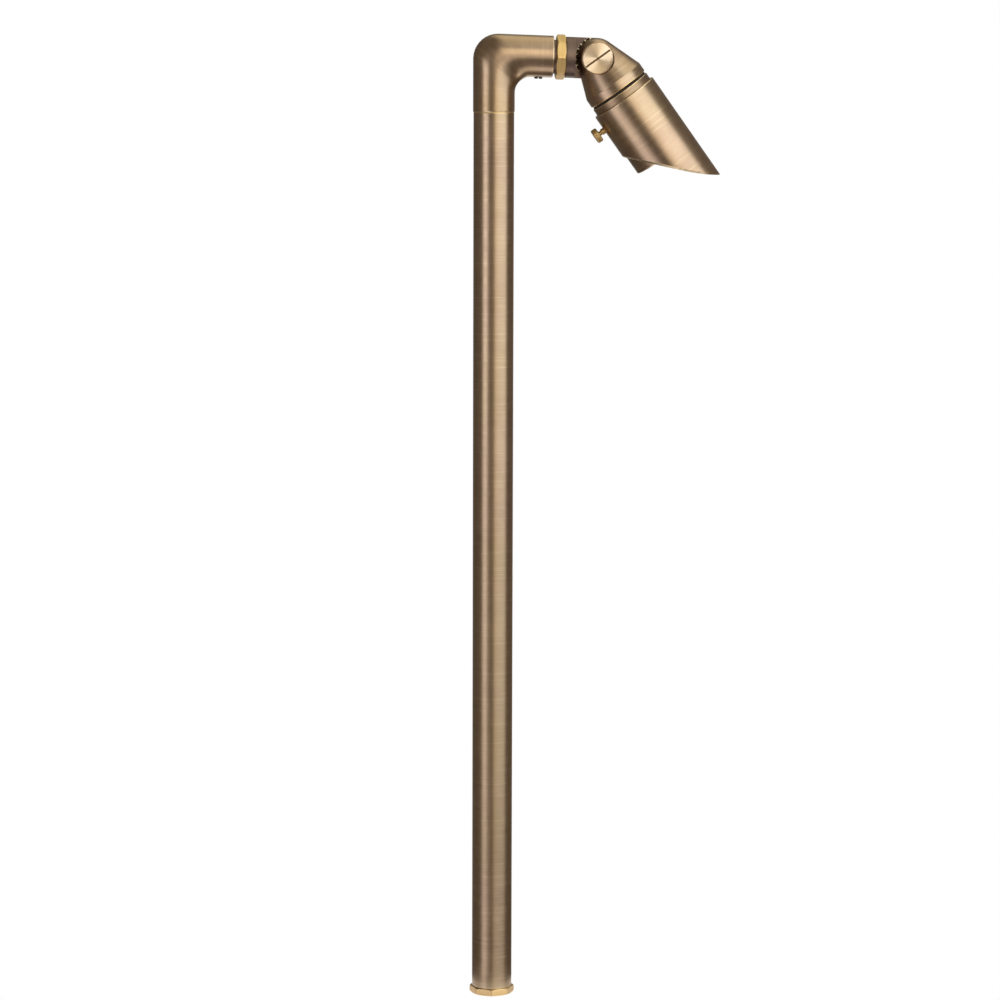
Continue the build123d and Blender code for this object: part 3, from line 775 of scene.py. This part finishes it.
DULL = replace(
    RAW, name="yellow_brass_dull", body=(0.78, 0.66, 0.45), dark=(0.70, 0.57, 0.37), tint=(0.76, 0.64, 0.42)
)
RUBBER = Moulded("rubber_black", (0.12, 0.085, 0.05), (0.17, 0.125, 0.08), 0.85)
SILICONE = Moulded("grey_silicone", (0.60, 0.59, 0.56), (0.56, 0.55, 0.52), 0.5)
ZINC = Moulded("zinc_plate", (0.66, 0.66, 0.64), (0.58, 0.58, 0.57), 0.35, 1.0)
DARK_STEEL = Moulded("blackened_steel", (0.22, 0.20, 0.18), (0.16, 0.15, 0.14), 0.4, 1.0)
CERAMIC = Moulded("ceramic_unglazed", (0.88, 0.86, 0.80), (0.83, 0.81, 0.75), 0.55)
MIRROR = Moulded("bright_coating", (0.88, 0.88, 0.87), (0.82, 0.82, 0.82), 0.08, 1.0, 900.0)
LENS_GLASS = Glass("lens_glass")
LAMP_GLASS = Glass("lamp_glass", roughness=0.0)

STEM_AXLE = Axle((0, 0, 0), (0, 0, 1), (1, 0, 0))
ARM_HEIGHT, ARM_FALL = 598.8, radians(2.0)
ARM_AXLE = Axle((0.0, 0.0, ARM_HEIGHT), (cos(ARM_FALL), 0.0, -sin(ARM_FALL)), (0.0, 1.0, 0.0))
PIVOT = (64.1109, 0.0, 596.5612)
SCREW_AXLE = Axle(PIVOT, (0.0, 1.0, 0.0), (1.0, 0.0, 0.0))
SLOTTED = replace(
    RAW,
    name="yellow_brass_slotted",
    body=(1.0, 0.92, 0.82),
    dark=(0.92, 0.82, 0.69),
    tint=(0.96, 0.87, 0.75),
    roughness=0.5,
    anisotropic=0.9,
    dish=0.07,
    # Painted shade on the walls and floor of the screw's slot.
    zones=(Zone(SCREW_AXLE, (0.0, 9.2), (-10.98, -9.6), (0.52, 0.40, 0.27), 0.7),),
)
TOOTHED = replace(
    BRONZE,
    name="dark_bronze_toothed",
    zones=(
        # Painted shade: the tooth valleys and the recess behind the tooth plane are darkened.
        Zone(SCREW_AXLE, (8.6, 14.05), (0.25, 1.3), RECESS_SHADE, 0.8),
        # Painted glints: the tooth crests showing past the ear's rim are made pale, as if catching the light.
        Zone(SCREW_AXLE, (12.5, 13.65), (-0.3, 0.16), (0.97, 0.92, 0.82), 0.6, 0.05),
    ),
)


@dataclass
class Workshop:
    """What every sub-assembly needs: the frame's nodes and the shared node groups.

    Attributes:
        nodes: CAD nodes by name.
        groups: shared node groups by name.
        made: materials that are there already, by finish.
    """

    nodes: dict[str, bpy.types.Object]
    groups: dict[str, bpy.types.NodeTree]
    made: dict[object, Material] = field(default_factory=dict)

    def metal(self, finish: Metal, grain: Grain = Grain.PIECE, axle: Axle | None = None) -> Material:
        """Return a metal's material, made once for each finish and turning axis.

        Args:
            finish: the metal.
            grain: where the direction of the tool marks comes from.
            axle: the turning axis, for Grain.AXLE.

        Returns:
            The material.
        """
        key = (finish, grain, axle)
        if key not in self.made:
            self.made[key] = finish.material(self.groups, grain, axle)
        return self.made[key]

    def plain(self, finish: Moulded | Glass) -> Material:
        """Return the material of a moulded or glass finish, made once."""
        if finish not in self.made:
            self.made[finish] = finish.material()
        return self.made[finish]

    def dress(self, material: Material, *nodes: str) -> None:
        """Give CAD nodes a material.

        Args:
            material: the material.
            *nodes: their names.
        """
        for node in nodes:
            self.nodes[node].data.materials.clear()
            self.nodes[node].data.materials.append(material)
            LOG.info("dressed %s in %s", node, material.name)

    def place(self, surface: Surface, material: Material, body: Body, slot: Slot, *replaced: str) -> None:
        """Build a surface, finish it and let it ride on its body.

        Args:
            surface: the surface.
            material: its material.
            body: the body that it moves with.
            slot: the record's slot of its finish; not used.
            *replaced: CAD nodes that it stands for.
        """
        piece = surface.build()
        piece.data.materials.append(material)
        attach(piece, body.value)
        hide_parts(*replaced)
        LOG.info("built %s with %d faces", piece.name, len(piece.data.polygons))


@dataclass
class OctagonShape:
    """An octagon whose corners a cone takes off on both faces.

    Attributes:
        flats: width across flats.
        thickness: length along the axis.
        chamfer_angle: slope of the cone, in degrees.
        inset: how far inside the flats the flat face ends.
        softness: how far the sharp corners are taken back.
        fade: how fast that fades beside them.
        columns: points round it, a multiple of eight.
    """

    flats: float
    thickness: float
    chamfer_angle: float = 30.0
    inset: float = 0.35
    softness: float = 0.16
    fade: float = 0.10
    columns: int = 192

    def rim(self, angles: Array, turn: float) -> Array:
        """Return the radius of the flats at each angle.

        It is half the flats over the cosine of the angle from the middle of the nearest flat, held
        just inside the sharp corner so that the corner is soft.

        Args:
            angles: angles in radians.
            turn: angle of the first corner, in radians.

        Returns:
            Radius at each angle.
        """
        eighth = pi / 4
        off = np.mod(angles - turn, eighth) - eighth / 2
        sharp = self.flats / 2 / np.cos(off)
        top = self.flats / 2 / cos(eighth / 2)
        return sharp - self.softness * np.exp((sharp - top) / self.fade)

    def outside(self, angles: Array, turn: float, start: float) -> tuple[Corner, ...]:
        """Return the outer corners of the section at each angle.

        Args:
            angles: angles in radians.
            turn: angle of the first corner, in radians.
            start: station of the first face.

        Returns:
            Radius and station of four corners: first face, two on the flats, last face.
        """
        rim = self.rim(angles, turn)
        face = self.flats / 2 - self.inset
        drop = (rim - face) * tan(radians(self.chamfer_angle))
        end = start + self.thickness
        return (face, start), (rim, start + drop), (rim, end - drop), (face, end)


@dataclass
class Stem:
    """Foot bushing, tube, elbow and set screw."""

    tube_radius: float = 12.7
    tube_bore: float = 11.05
    foot: float = 4.5
    seam: float = 563.3
    seam_gap: float = 0.02
    elbow_radius: float = 13.0
    throat: float = 9.8
    heel: float = 15.4
    mouth: float = 36.8
    mouth_bore: float = 10.53
    mouth_depth: float = 16.0
    wireway: float = 8.0
    spigot: float = 15.0
    spigot_gap: float = 0.02
    bushing_flats: float = 26.6
    bushing_turn: float = radians(-2.4)
    bushing_spigot: float = 14.0
    thread_radius: float = 9.5
    thread_depth: float = 0.9
    thread_pitch: float = 1.814
    thread_margin: float = 0.4
    thread_fade: float = 1.6
    thread_rows: int = 110
    columns: int = 128

    def tube(self) -> Surface:
        """Return the tube: a closed ring section turned about the stem's axis."""
        outer, inner = self.tube_radius, self.tube_bore
        corners = section((outer, self.foot), (outer, self.seam), (inner, self.seam), (inner, self.foot))
        loop, flags = densified(*rounded_loop(corners, (0.3, 0.3, 0.2, 0.2), 0.35), 12.0)
        return turned_surface("stem_tube_drawn", STEM_AXLE, loop, flags, ring_angles(self.columns))

    def bushing(self) -> Surface:
        """Return the foot bushing: octagon flange, spigot, and a thread wound up its bore.

        The bore's radius rises and falls as a triangle wave of height less pitch times turns, with its
        crests and roots flattened, and the thread fades out at both ends.
        """
        shape = OctagonShape(self.bushing_flats, self.foot)
        angles = ring_angles(shape.columns, self.bushing_turn)
        top = self.foot + self.bushing_spigot
        spigot, root = self.tube_bore - self.spigot_gap, self.thread_radius + self.thread_depth
        flange = shape.outside(angles, self.bushing_turn, 0.0)
        corners = section((root, 0.0), *flange, (spigot, self.foot), (spigot, top), (root, top))
        loop, flags = rounded_loop(corners, (0.1, 0.2, 0.12, 0.12, 0.2, 0.05, 0.3, 0.1), 0.08)
        height = np.linspace(top - self.thread_margin, self.thread_margin, self.thread_rows)[:, None]
        height = np.repeat(height, len(angles), axis=1)
        wave = np.abs(np.mod(height / self.thread_pitch - angles / (2 * pi), 1.0) * 2 - 1)
        ends = np.clip(np.minimum(height, top - height) / self.thread_fade, 0, 1)
        bore = root - self.thread_depth * ends * np.clip(wave * 1.35 - 0.1, 0, 1)
        first = ARC_STEPS + 1
        loop = np.concatenate([loop[first:], np.stack([bore, height], -1), loop[:first]])
        flags = np.r_[flags[first:], np.zeros(self.thread_rows), flags[:first]]
        return turned_surface("base_bushing_threaded", STEM_AXLE, loop, flags, angles)

    def heel_distance(self, angle: Array, shell: Array) -> Array:
        """Return how far the heel of a shell is from the bend's centre.

        The heel runs straight up the leg, round a corner circle and straight out along the arm. On the
        straight parts it is span / cos(angle from the nearer seam); on the corner it is the far crossing
        of a ray with a circle whose centre is on the bend's middle ray.

        Args:
            angle: angle in the bend, from 0 at the leg to the full bend at the arm.
            shell: radius of the shell about the pipe's axis.

        Returns:
            Distance at each angle.
        """
        half = (pi / 2 + ARM_FALL) / 2
        span = self.throat + self.elbow_radius + shell
        corner = self.heel - self.elbow_radius + shell
        centre = (span - corner) / cos(half)
        off_side = np.minimum(angle, 2 * half - angle)
        off_corner = angle - half
        root = np.maximum(corner**2 - (centre * np.sin(off_corner)) ** 2, 0)
        straight = span * np.tan(off_side) <= centre * sin(half)
        return np.where(straight, span / np.cos(off_side), centre * np.cos(off_corner) + np.sqrt(root))

    def elbow(self) -> Surface:
        """Return the elbow: rings carried up the leg, round the bend and out along the arm.

        In the bend a ring is an ellipse from the throat to the heel, in a plane through the bend's centre.
        """
        full = pi / 2 + ARM_FALL
        swing = self.throat + self.elbow_radius
        reach = swing * tan(full / 2)
        leg_end = ARM_HEIGHT - reach - self.seam
        bend = swing * full
        arm_start = leg_end + bend
        mouth = arm_start + self.mouth - reach
        step, spigot = mouth - self.mouth_depth, self.tube_bore - self.spigot_gap
        corners = section(
            (self.elbow_radius, self.seam_gap),
            (self.elbow_radius, mouth),
            (self.mouth_bore, mouth),
            (self.mouth_bore, step),
            (self.wireway, step),
            (self.wireway, -self.spigot),
            (spigot, -self.spigot),
            (spigot, self.seam_gap),
        )
        loop, flags = rounded_loop(corners, (0.35, 0.5, 0.35, 0.2, 0.2, 0.3, 0.3, 0.1), 0.35)
        flags[loop[:, 0] < self.mouth_bore] = 0
        loop, flags = densified(loop, flags, 1.3)
        shell, run = loop[:, 0], loop[:, 1]
        angle = np.clip((run - leg_end) / bend, 0, 1) * full
        outward = np.stack([-np.cos(angle), 0 * angle, np.sin(angle)], -1)
        forward = np.stack([np.sin(angle), 0 * angle, np.cos(angle)], -1)
        near = swing - shell
        far = np.where((angle > 0) & (angle < full), self.heel_distance(angle, shell), swing + shell)
        hub = np.array([swing, 0, ARM_HEIGHT - reach])
        past = np.minimum(run - leg_end, 0) + np.maximum(run - arm_start, 0)
        middle = hub + outward * ((near + far) / 2)[:, None] + forward * past[:, None]
        around = ring_angles(self.columns)
        wide = ((far - near) / 2)[:, None, None] * np.cos(around)[None, :, None] * outward[:, None]
        deep = shell[:, None, None] * np.sin(around)[None, :, None] * np.array([0, 1, 0])
        points = middle[:, None] + wide + deep
        spoke = shell[:, None] * np.stack([np.cos(around), np.sin(around)])[:, None]
        turned = np.stack([spoke[0], spoke[1], np.repeat(run[:, None], self.columns, 1)], axis=-1)
        wear_and_sheen = np.repeat(flags[:, None], self.columns, axis=1)
        return Surface("elbow_cast", points, wear_and_sheen, turned, along_rows(points))

    def build(self, shop: Workshop) -> None:
        """Build and dress the stem's pieces with the workshop's nodes and groups."""
        reach = (self.tube_radius - 0.6, self.tube_radius + 0.2)
        rim = Zone(STEM_AXLE, reach, (self.seam - 0.4, self.seam + 0.1), GOLD_LINE, 0.4)
        tube = shop.metal(replace(AGED, name="brown_brass_tube", zones=(rim,)))
        shop.place(self.tube(), tube, Body.STEM, Slot.AGED_BRASS, "stem_tube")
        shop.place(self.elbow(), shop.metal(CAST), Body.STEM, Slot.AGED_BRASS, "elbow")
        shop.place(self.bushing(), shop.metal(FOOT), Body.STEM, Slot.RAW_BRASS, "base_bushing")
        shop.dress(shop.plain(DARK_STEEL), "elbow_set_screw")


@dataclass
class Knuckle:
    """Toothed knuckle, its grommet, the lock nut and the pivot screw."""

    nut_flats: float = 26.1
    nut_thickness: float = 5.8
    nut_start: float = 38.5
    nut_turn: float = radians(2.75)
    nut_bore: float = 10.53

    def nut(self) -> Surface:
        """Return the lock nut: a chamfered octagon section at each angle about the arm."""
        shape = OctagonShape(self.nut_flats, self.nut_thickness)
        angles = ring_angles(shape.columns, self.nut_turn)
        first, last = (self.nut_bore, self.nut_start), (self.nut_bore, self.nut_start + self.nut_thickness)
        corners = section(first, *shape.outside(angles, self.nut_turn, self.nut_start), last)
        loop, flags = rounded_loop(corners, (0.15, 0.2, 0.12, 0.12, 0.2, 0.15), 0.08)
        return turned_surface("lock_nut_turned", ARM_AXLE, loop, flags, angles)

    def build(self, shop: Workshop) -> None:
        """Build and dress the knuckle's pieces with the workshop's nodes and groups."""
        shop.dress(shop.metal(TOOTHED, Grain.AXLE, ARM_AXLE), "knuckle_base")
        shop.dress(shop.plain(SILICONE), "wire_grommet")
        shop.dress(shop.metal(SLOTTED, Grain.AXLE, SCREW_AXLE), "pivot_screw")
        shop.place(self.nut(), shop.metal(RAW), Body.LOCK_NUT, Slot.RAW_BRASS, "lock_nut")


@dataclass
class Head:
    """Lamp cap with its seals, socket and lamp, and the barrel, lens, shroud and thumb screw on it."""

    drop: float = radians(54.5)
    barrel_radius: float = 20.1
    barrel_bore: float = 17.95
    barrel_rear: float = 24.831
    barrel_front: float = 73.549
    lip_back: float = 72.049
    lip_radius: float = 16.25
    shroud_radius: float = 21.8
    shroud_bore: float = 20.4
    shroud_rear: float = 29.331
    shroud_short: float = 30.3
    shroud_long: float = 74.7
    shroud_columns: int = 240
    cut_angle: float = radians(47.7)
    cut_straight: float = 36.0
    cut_bevel: tuple[float, float] = (0.3, 1.0)
    cut_bevel_slope: float = 1.5
    thumb_from_rear: float = 9.9
    thumb_radius: float = 4.65
    thumb_start: float = 25.6
    thumb_thickness: float = 3.7
    thumb_edge: tuple[float, float] = (0.55, 0.45)
    shank_radius: float = 2.0
    shank_gap: float = 0.05
    neck_radius: float = 1.45
    neck_length: float = 1.7
    pole: float = 0.02
    knurls: int = 36
    knurl_depth: float = 0.1
    columns: int = 160
    axle: Axle = field(init=False)

    def __post_init__(self) -> None:
        """Set the lamp axis from the pivot and the drop."""
        down = self.drop
        self.axle = Axle(PIVOT, (cos(down), 0.0, -sin(down)), (sin(down), 0.0, cos(down)))

    def barrel(self) -> Surface:
        """Return the barrel: its wall and lip turned about the lamp axis."""
        corners = section(
            (self.barrel_radius, self.barrel_rear),
            (self.barrel_radius, self.barrel_front),
            (self.lip_radius, self.barrel_front),
            (self.lip_radius, self.lip_back),
            (self.barrel_bore, self.lip_back),
            (self.barrel_bore, self.barrel_rear),
        )
        loop, flags = densified(*rounded_loop(corners, (0.4, 0.5, 0.3, 0.2, 0.2, 0.2), 0.3), 6.0)
        return turned_surface("barrel_turned", self.axle, loop, flags, ring_angles(self.columns))

    def cut(self, across: Array) -> Array:
        """Return the station of the shroud's cut at each height across the lamp axis.

        It is a straight line from the short side, then the circle that leaves it smoothly for the tip.

        Args:
            across: height towards the long side.

        Returns:
            Station of the cut.
        """
        slope = self.cut_angle
        start = np.array([-self.shroud_radius, self.shroud_rear + self.shroud_short])
        bend = start + self.cut_straight * np.array([cos(slope), sin(slope)])
        tip = np.array([self.shroud_radius, self.shroud_rear + self.shroud_long])
        square = np.array([-sin(slope), cos(slope)])
        chord = tip - bend
        radius = chord @ chord / (2 * chord @ square)
        centre = bend + square * radius
        straight = start[1] + (across - start[0]) * tan(slope)
        circle = centre[1] - np.sign(radius) * np.sqrt(np.maximum(radius**2 - (across - centre[0]) ** 2, 0))
        return np.where(across <= bend[0], straight, circle)

    def shroud(self) -> Surface:
        """Return the shroud: a tube whose front follows the cut, at each angle about the lamp axis.

        The cut's outer edge is chamfered by a least bevel plus a share of the size of the angle's sine, and
        a slope times as far along the wall, so it is crisp at the tip and broad at the two sides.
        """
        angles = ring_angles(self.shroud_columns)
        outer, inner, rear = self.shroud_radius, self.shroud_bore, self.shroud_rear
        least, more = self.cut_bevel
        bevel = least + more * np.abs(np.sin(angles))
        front = outer - bevel
        corners = section(
            (outer, rear),
            (outer, self.cut(outer * np.cos(angles)) - self.cut_bevel_slope * bevel),
            (front, self.cut(front * np.cos(angles))),
            (inner, self.cut(inner * np.cos(angles))),
            (inner, rear),
        )
        loop, flags = rounded_loop(corners, (0.55, 0.08, 0.08, 0.1, 0.3), (0.45, 0.05, 0.05, 0.05, 0.3))
        corner = ARC_STEPS + 2
        # The chamfer's rows take the rubbed colour: partly rubbed wear, partly a painted reflection of the
        # pale ground in front.
        flags[2 * corner - 1 : 2 * corner + 1] = 1
        for row in (4 * corner, corner):
            loop, flags = bridged(loop, flags, row)
        return turned_surface("glare_shroud_cut", self.axle, loop, flags, angles)

    def thumb_screw(self) -> Surface:
        """Return the thumb screw: its profile turned, with a cosine knurl on the head's rim."""
        station = self.shroud_rear + self.thumb_from_rear
        root = np.array(PIVOT) + station * np.array(self.axle.along)
        axle = Axle(tuple(root), tuple(-np.array(self.axle.side)), self.axle.along)
        angles = ring_angles(self.knurls * 6)
        ridge = self.thumb_radius - self.knurl_depth / 2 * (1 - np.cos(self.knurls * angles))
        start, end = self.thumb_start, self.thumb_start + self.thumb_thickness
        tip, neck = self.barrel_radius + self.shank_gap, start - self.neck_length
        inset, drop = self.thumb_edge
        corners = section(
            (self.pole, tip),
            (self.shank_radius, tip),
            (self.shank_radius, neck),
            (self.neck_radius, neck),
            (self.neck_radius, start),
            (self.thumb_radius - inset, start),
            (ridge, start + drop),
            (ridge, end - drop),
            (self.thumb_radius - inset, end),
            (self.pole, end),
        )
        radii = (0.005, 0.2, 0.1, 0.1, 0.15, 0.15, 0.15, 0.15, 0.15, 0.005)
        loop, flags = rounded_loop(corners, radii, 0.08)
        return turned_surface("thumb_screw_knurled", axle, loop, flags, angles)

    def build(self, shop: Workshop) -> None:
        """Build and dress the head's pieces with the workshop's nodes and groups."""
        rim = Zone(self.axle, (19.5, 20.3), (22.95, 23.5), GOLD_LINE, 0.35)
        cap = replace(AGED, name="brown_brass_cap", streak=0.34, zones=(rim,))
        shop.dress(shop.metal(cap, Grain.AXLE, self.axle), "lamp_cap")
        shop.dress(shop.metal(RAW, Grain.AXLE, self.axle), "socket_contacts", "lamp_pins", "lens_retainer")
        shop.dress(shop.plain(RUBBER), "pivot_o_ring", "cap_o_ring")
        shop.dress(shop.plain(ZINC), "socket_bracket", "bracket_screws")
        shop.dress(shop.plain(CERAMIC), "lamp_socket")
        shop.dress(shop.plain(MIRROR), "lamp_reflector")
        shop.dress(shop.plain(LAMP_GLASS), "lamp_capsule", "lamp_front_glass")
        shop.dress(shop.plain(SILICONE), "lens_gasket")
        shop.dress(shop.plain(LENS_GLASS), "lens")
        shop.place(self.barrel(), shop.metal(SHADED_WALL), Body.BARREL, Slot.AGED_BRASS, "barrel")
        shop.place(self.shroud(), shop.metal(AGED), Body.SHROUD, Slot.AGED_BRASS, "glare_shroud")
        shop.place(self.thumb_screw(), shop.metal(DULL), Body.THUMB_SCREW, Slot.RAW_BRASS, "thumb_screw")


@dataclass(frozen=True)
class Softbox:
    """A soft-edged panel of light in the studio, as seen from the object.

    Attributes:
        azimuth: its middle, in degrees from the camera's side towards +X.
        width: its width in degrees.
        low: elevation of its lower edge, in degrees.
        high: elevation of its upper edge, in degrees.
        level: its brightness.
        soft: how many degrees its sides, its lower edge and its upper edge take.
        shade: its colour.
    """

    azimuth: float
    width: float
    low: float
    high: float
    level: float
    soft: Triple
    shade: Triple = (1.0, 1.0, 1.0)

    def mask(self, sheet: NodeSheet, direction: Socket, elevation: Socket) -> Socket:
        """Return 1 inside the panel and 0 outside.

        Args:
            sheet: the world's nodes.
            direction: unit direction that a ray looks in.
            elevation: its elevation in radians.

        Returns:
            The mask.
        """
        middle, half, low, high = (radians(a) for a in (self.azimuth, self.width / 2, self.low, self.high))
        side, lower, upper = (radians(degrees / 2) for degrees in self.soft)
        across = sheet.vector("DOT_PRODUCT", direction, (cos(middle), sin(middle), 0.0))
        forward = sheet.vector("DOT_PRODUCT", direction, (sin(middle), -cos(middle), 0.0))
        off = sheet.math("ABSOLUTE", sheet.math("ARCTAN2", across, forward))
        inside = sheet.span(off, half - side, half + side, 1.0, 0.0)
        rise = sheet.span(elevation, low - lower, low + lower)
        fall = sheet.span(elevation, high - upper, high + upper, 1.0, 0.0)
        return sheet.times(inside, sheet.times(rise, fall))


@dataclass
class Studio:
    """Camera, floor, world and lamp, in metres.

    Attributes:
        camera_place: where the camera stands.
        aim: the point that it looks at.
        roll: its turn about its line of sight, in degrees.
        focal: its focal length in millimetres.
        room: colour that the metal sees beside the panels.
        ambient: grey that matt surfaces see.
        boxes: the panels, each laid over the ones before it.
        floor_radii: rings of the floor, from its middle to its rim.
        floor_columns: points on each ring.
        floor_level: height of the floor, just under the foot.
        floor_glow: the floor's own light, and how much a ray that shows it adds.
        lamp_place: where the overhead lamp hangs.
        lamp_tilt: its turn about X and Y, in radians.
        lamp_size: its width.
        lamp_power: its power in watts.
    """

    camera_place: Triple = (-0.108, -2.126, 0.600)
    aim: Triple = (0.0045, 0.0, 0.3193)
    roll: float = 0.16
    focal: float = 122.15
    room: Triple = (0.21, 0.178, 0.147)
    ambient: Triple = (0.75, 0.75, 0.75)
    boxes: tuple[Softbox, ...] = (
        Softbox(0.0, 400.0, -120.0, -12.0, 1.0, (10.0, 10.0, 12.0), (0.14, 0.106, 0.07)),
        Softbox(180.0, 36.0, -50.0, 5.0, 1.5, (14.0, 13.0, 30.0)),
        Softbox(-142.0, 70.0, -60.0, 40.0, 0.15, (30.0, 30.0, 30.0), (1.0, 0.87, 0.74)),
        Softbox(100.0, 187.0, 46.0, 100.0, 1.4, (41.0, 30.0, 24.0), (1.0, 0.97, 0.77)),
        Softbox(-40.0, 40.0, -100.0, -23.0, 2.05, (24.0, 20.0, 16.0), (1.0, 0.96, 1.0)),
        Softbox(-25.0, 190.0, -90.0, -62.0, 1.25, (30.0, 14.0, 14.0), (1.0, 0.95, 0.89)),
        Softbox(-90.0, 60.0, -100.0, -68.0, 2.6, (24.0, 10.0, 10.0), (1.0, 0.97, 0.93)),
        Softbox(88.0, 28.0, -72.0, -50.0, 2.4, (16.0, 8.0, 8.0), (1.0, 0.96, 0.92)),
        Softbox(13.0, 40.0, 9.0, 38.0, 2.25, (10.0, 8.0, 12.0), (1.0, 0.90, 0.70)),
        Softbox(12.0, 15.0, -9.5, 10.0, 2.1, (6.0, 7.0, 8.0), (1.0, 0.91, 0.75)),
        Softbox(-49.5, 27.0, -7.5, 5.0, 3.8, (17.0, 14.0, 12.0), (1.0, 0.99, 1.04)),
        Softbox(45.5, 58.0, -9.0, 54.0, 2.4, (18.0, 8.0, 39.0), (0.985, 1.01, 0.99)),
    )
    floor_radii: tuple[float, ...] = (0.0001, 0.01, 0.02, 0.03, 0.04)
    floor_columns: int = 96
    floor_level: float = -0.0002
    floor_glow: tuple[float, float] = (0.3, 0.42)
    lamp_place: Triple = (0.3, -0.7, 1.9)
    lamp_tilt: Triple = (0.35, 0.12, 0.0)
    lamp_size: float = 1.2
    lamp_power: float = 14.0

    def camera(self) -> None:
        """Create the camera and make it the scene's."""
        data = bpy.data.cameras.new("camera")
        data.sensor_width = 36.0
        data.lens = self.focal
        data.clip_end = 50.0
        piece = bpy.data.objects.new("camera", data)
        bpy.context.scene.collection.objects.link(piece)
        look = Vector(self.aim) - Vector(self.camera_place)
        piece.location = self.camera_place
        piece.rotation_mode = "QUATERNION"
        piece.rotation_quaternion = look.to_track_quat("-Z", "Y") @ Quaternion((0, 0, 1), radians(self.roll))
        bpy.context.scene.camera = piece

    def world(self) -> None:
        """Build the world: white where the camera looks, and a room with soft panels for the metal."""
        world = bpy.data.worlds.new("studio")
        bpy.context.scene.world = world
        world.use_nodes = True
        sheet = NodeSheet(world.node_tree)
        direction = sheet.add("ShaderNodeTexCoord").outputs["Generated"]
        height = sheet.add("ShaderNodeSeparateXYZ", {0: direction}).outputs["Z"]
        elevation = sheet.math("ARCSINE", height)
        colour = self.room + (1.0,)
        for box in self.boxes:
            lit = tuple(c * box.level for c in box.shade) + (1.0,)
            colour = sheet.blend(box.mask(sheet, direction, elevation), colour, lit)
        path = sheet.add("ShaderNodeLightPath").outputs
        colour = sheet.blend(path["Is Glossy Ray"], self.ambient + (1.0,), colour)
        clear = sheet.math("MAXIMUM", path["Is Camera Ray"], path["Is Transmission Ray"])
        background = sheet.add("ShaderNodeBackground", {"Color": sheet.blend(clear, colour, WHITE)})
        sheet.add("ShaderNodeOutputWorld", {0: background.outputs[0]})

    def floor(self) -> None:
        """Build the round pale floor, which is white like the background and hides nothing from below."""
        angles, radii = ring_angles(self.floor_columns), np.array(self.floor_radii)[:, None]
        level = np.full((len(radii), len(angles)), self.floor_level)
        points = np.stack([radii * np.cos(angles), radii * np.sin(angles), level], -1)
        index = np.arange(level.size).reshape(level.shape)
        right = np.roll(index, -1, axis=1)
        quads = np.stack([index[:-1], index[1:], right[1:], right[:-1]], -1).reshape(-1, 4)
        mesh = bpy.data.meshes.new("floor")
        mesh.from_pydata(points.reshape(-1, 3).tolist(), [], quads.tolist())
        piece = bpy.data.objects.new("floor", mesh)
        bpy.context.scene.collection.objects.link(piece)
        material, sheet, sides = new_material("pale_floor", "ShaderNodeMixShader")
        path = sheet.add("ShaderNodeLightPath").outputs
        seen = sheet.math("MAXIMUM", path["Is Camera Ray"], path["Is Glossy Ray"])
        seen = sheet.math("MAXIMUM", seen, path["Is Transmission Ray"])
        own, added = self.floor_glow
        strength = sheet.math("MULTIPLY_ADD", seen, added, own)
        glow = sheet.add("ShaderNodeEmission", {"Strength": strength}).outputs[0]
        diffuse = sheet.add("ShaderNodeBsdfDiffuse", {"Color": (0.4, 0.4, 0.4, 1.0)}).outputs[0]
        both = sheet.add("ShaderNodeAddShader", {0: diffuse, 1: glow}).outputs[0]
        back = sheet.add("ShaderNodeNewGeometry").outputs["Backfacing"]
        sheet.fill(sides, {0: back, 1: both, 2: sheet.add("ShaderNodeBsdfTransparent").outputs[0]})
        mesh.materials.append(material)

    def lamp(self) -> None:
        """Hang one large soft lamp over the object, for the matt pieces and the floor's shadow."""
        data = bpy.data.lights.new("overhead", "AREA")
        data.shape = "DISK"
        data.size = self.lamp_size
        data.energy = self.lamp_power
        piece = bpy.data.objects.new("overhead", data)
        piece.location = self.lamp_place
        piece.rotation_euler = self.lamp_tilt
        piece.visible_glossy = False
        bpy.context.scene.collection.objects.link(piece)

    def build(self) -> None:
        """Build the studio and set plain colour management."""
        self.camera()
        self.world()
        self.floor()
        self.lamp()
        bpy.context.scene.view_settings.view_transform = "Standard"


def main() -> None:
    """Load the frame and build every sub-assembly."""
    logging.basicConfig(level=logging.INFO, format="%(message)s")
    for item in list(bpy.data.objects):
        bpy.data.objects.remove(item)
    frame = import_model()
    shop = Workshop(frame["nodes"], {"brushing": brushing_group(), "wear": wear_group()})
    for assembly in (Stem(), Knuckle(), Head()):
        assembly.build(shop)
    Studio().build()
    bpy.context.view_layer.update()


if __name__ == "__main__":
    main()
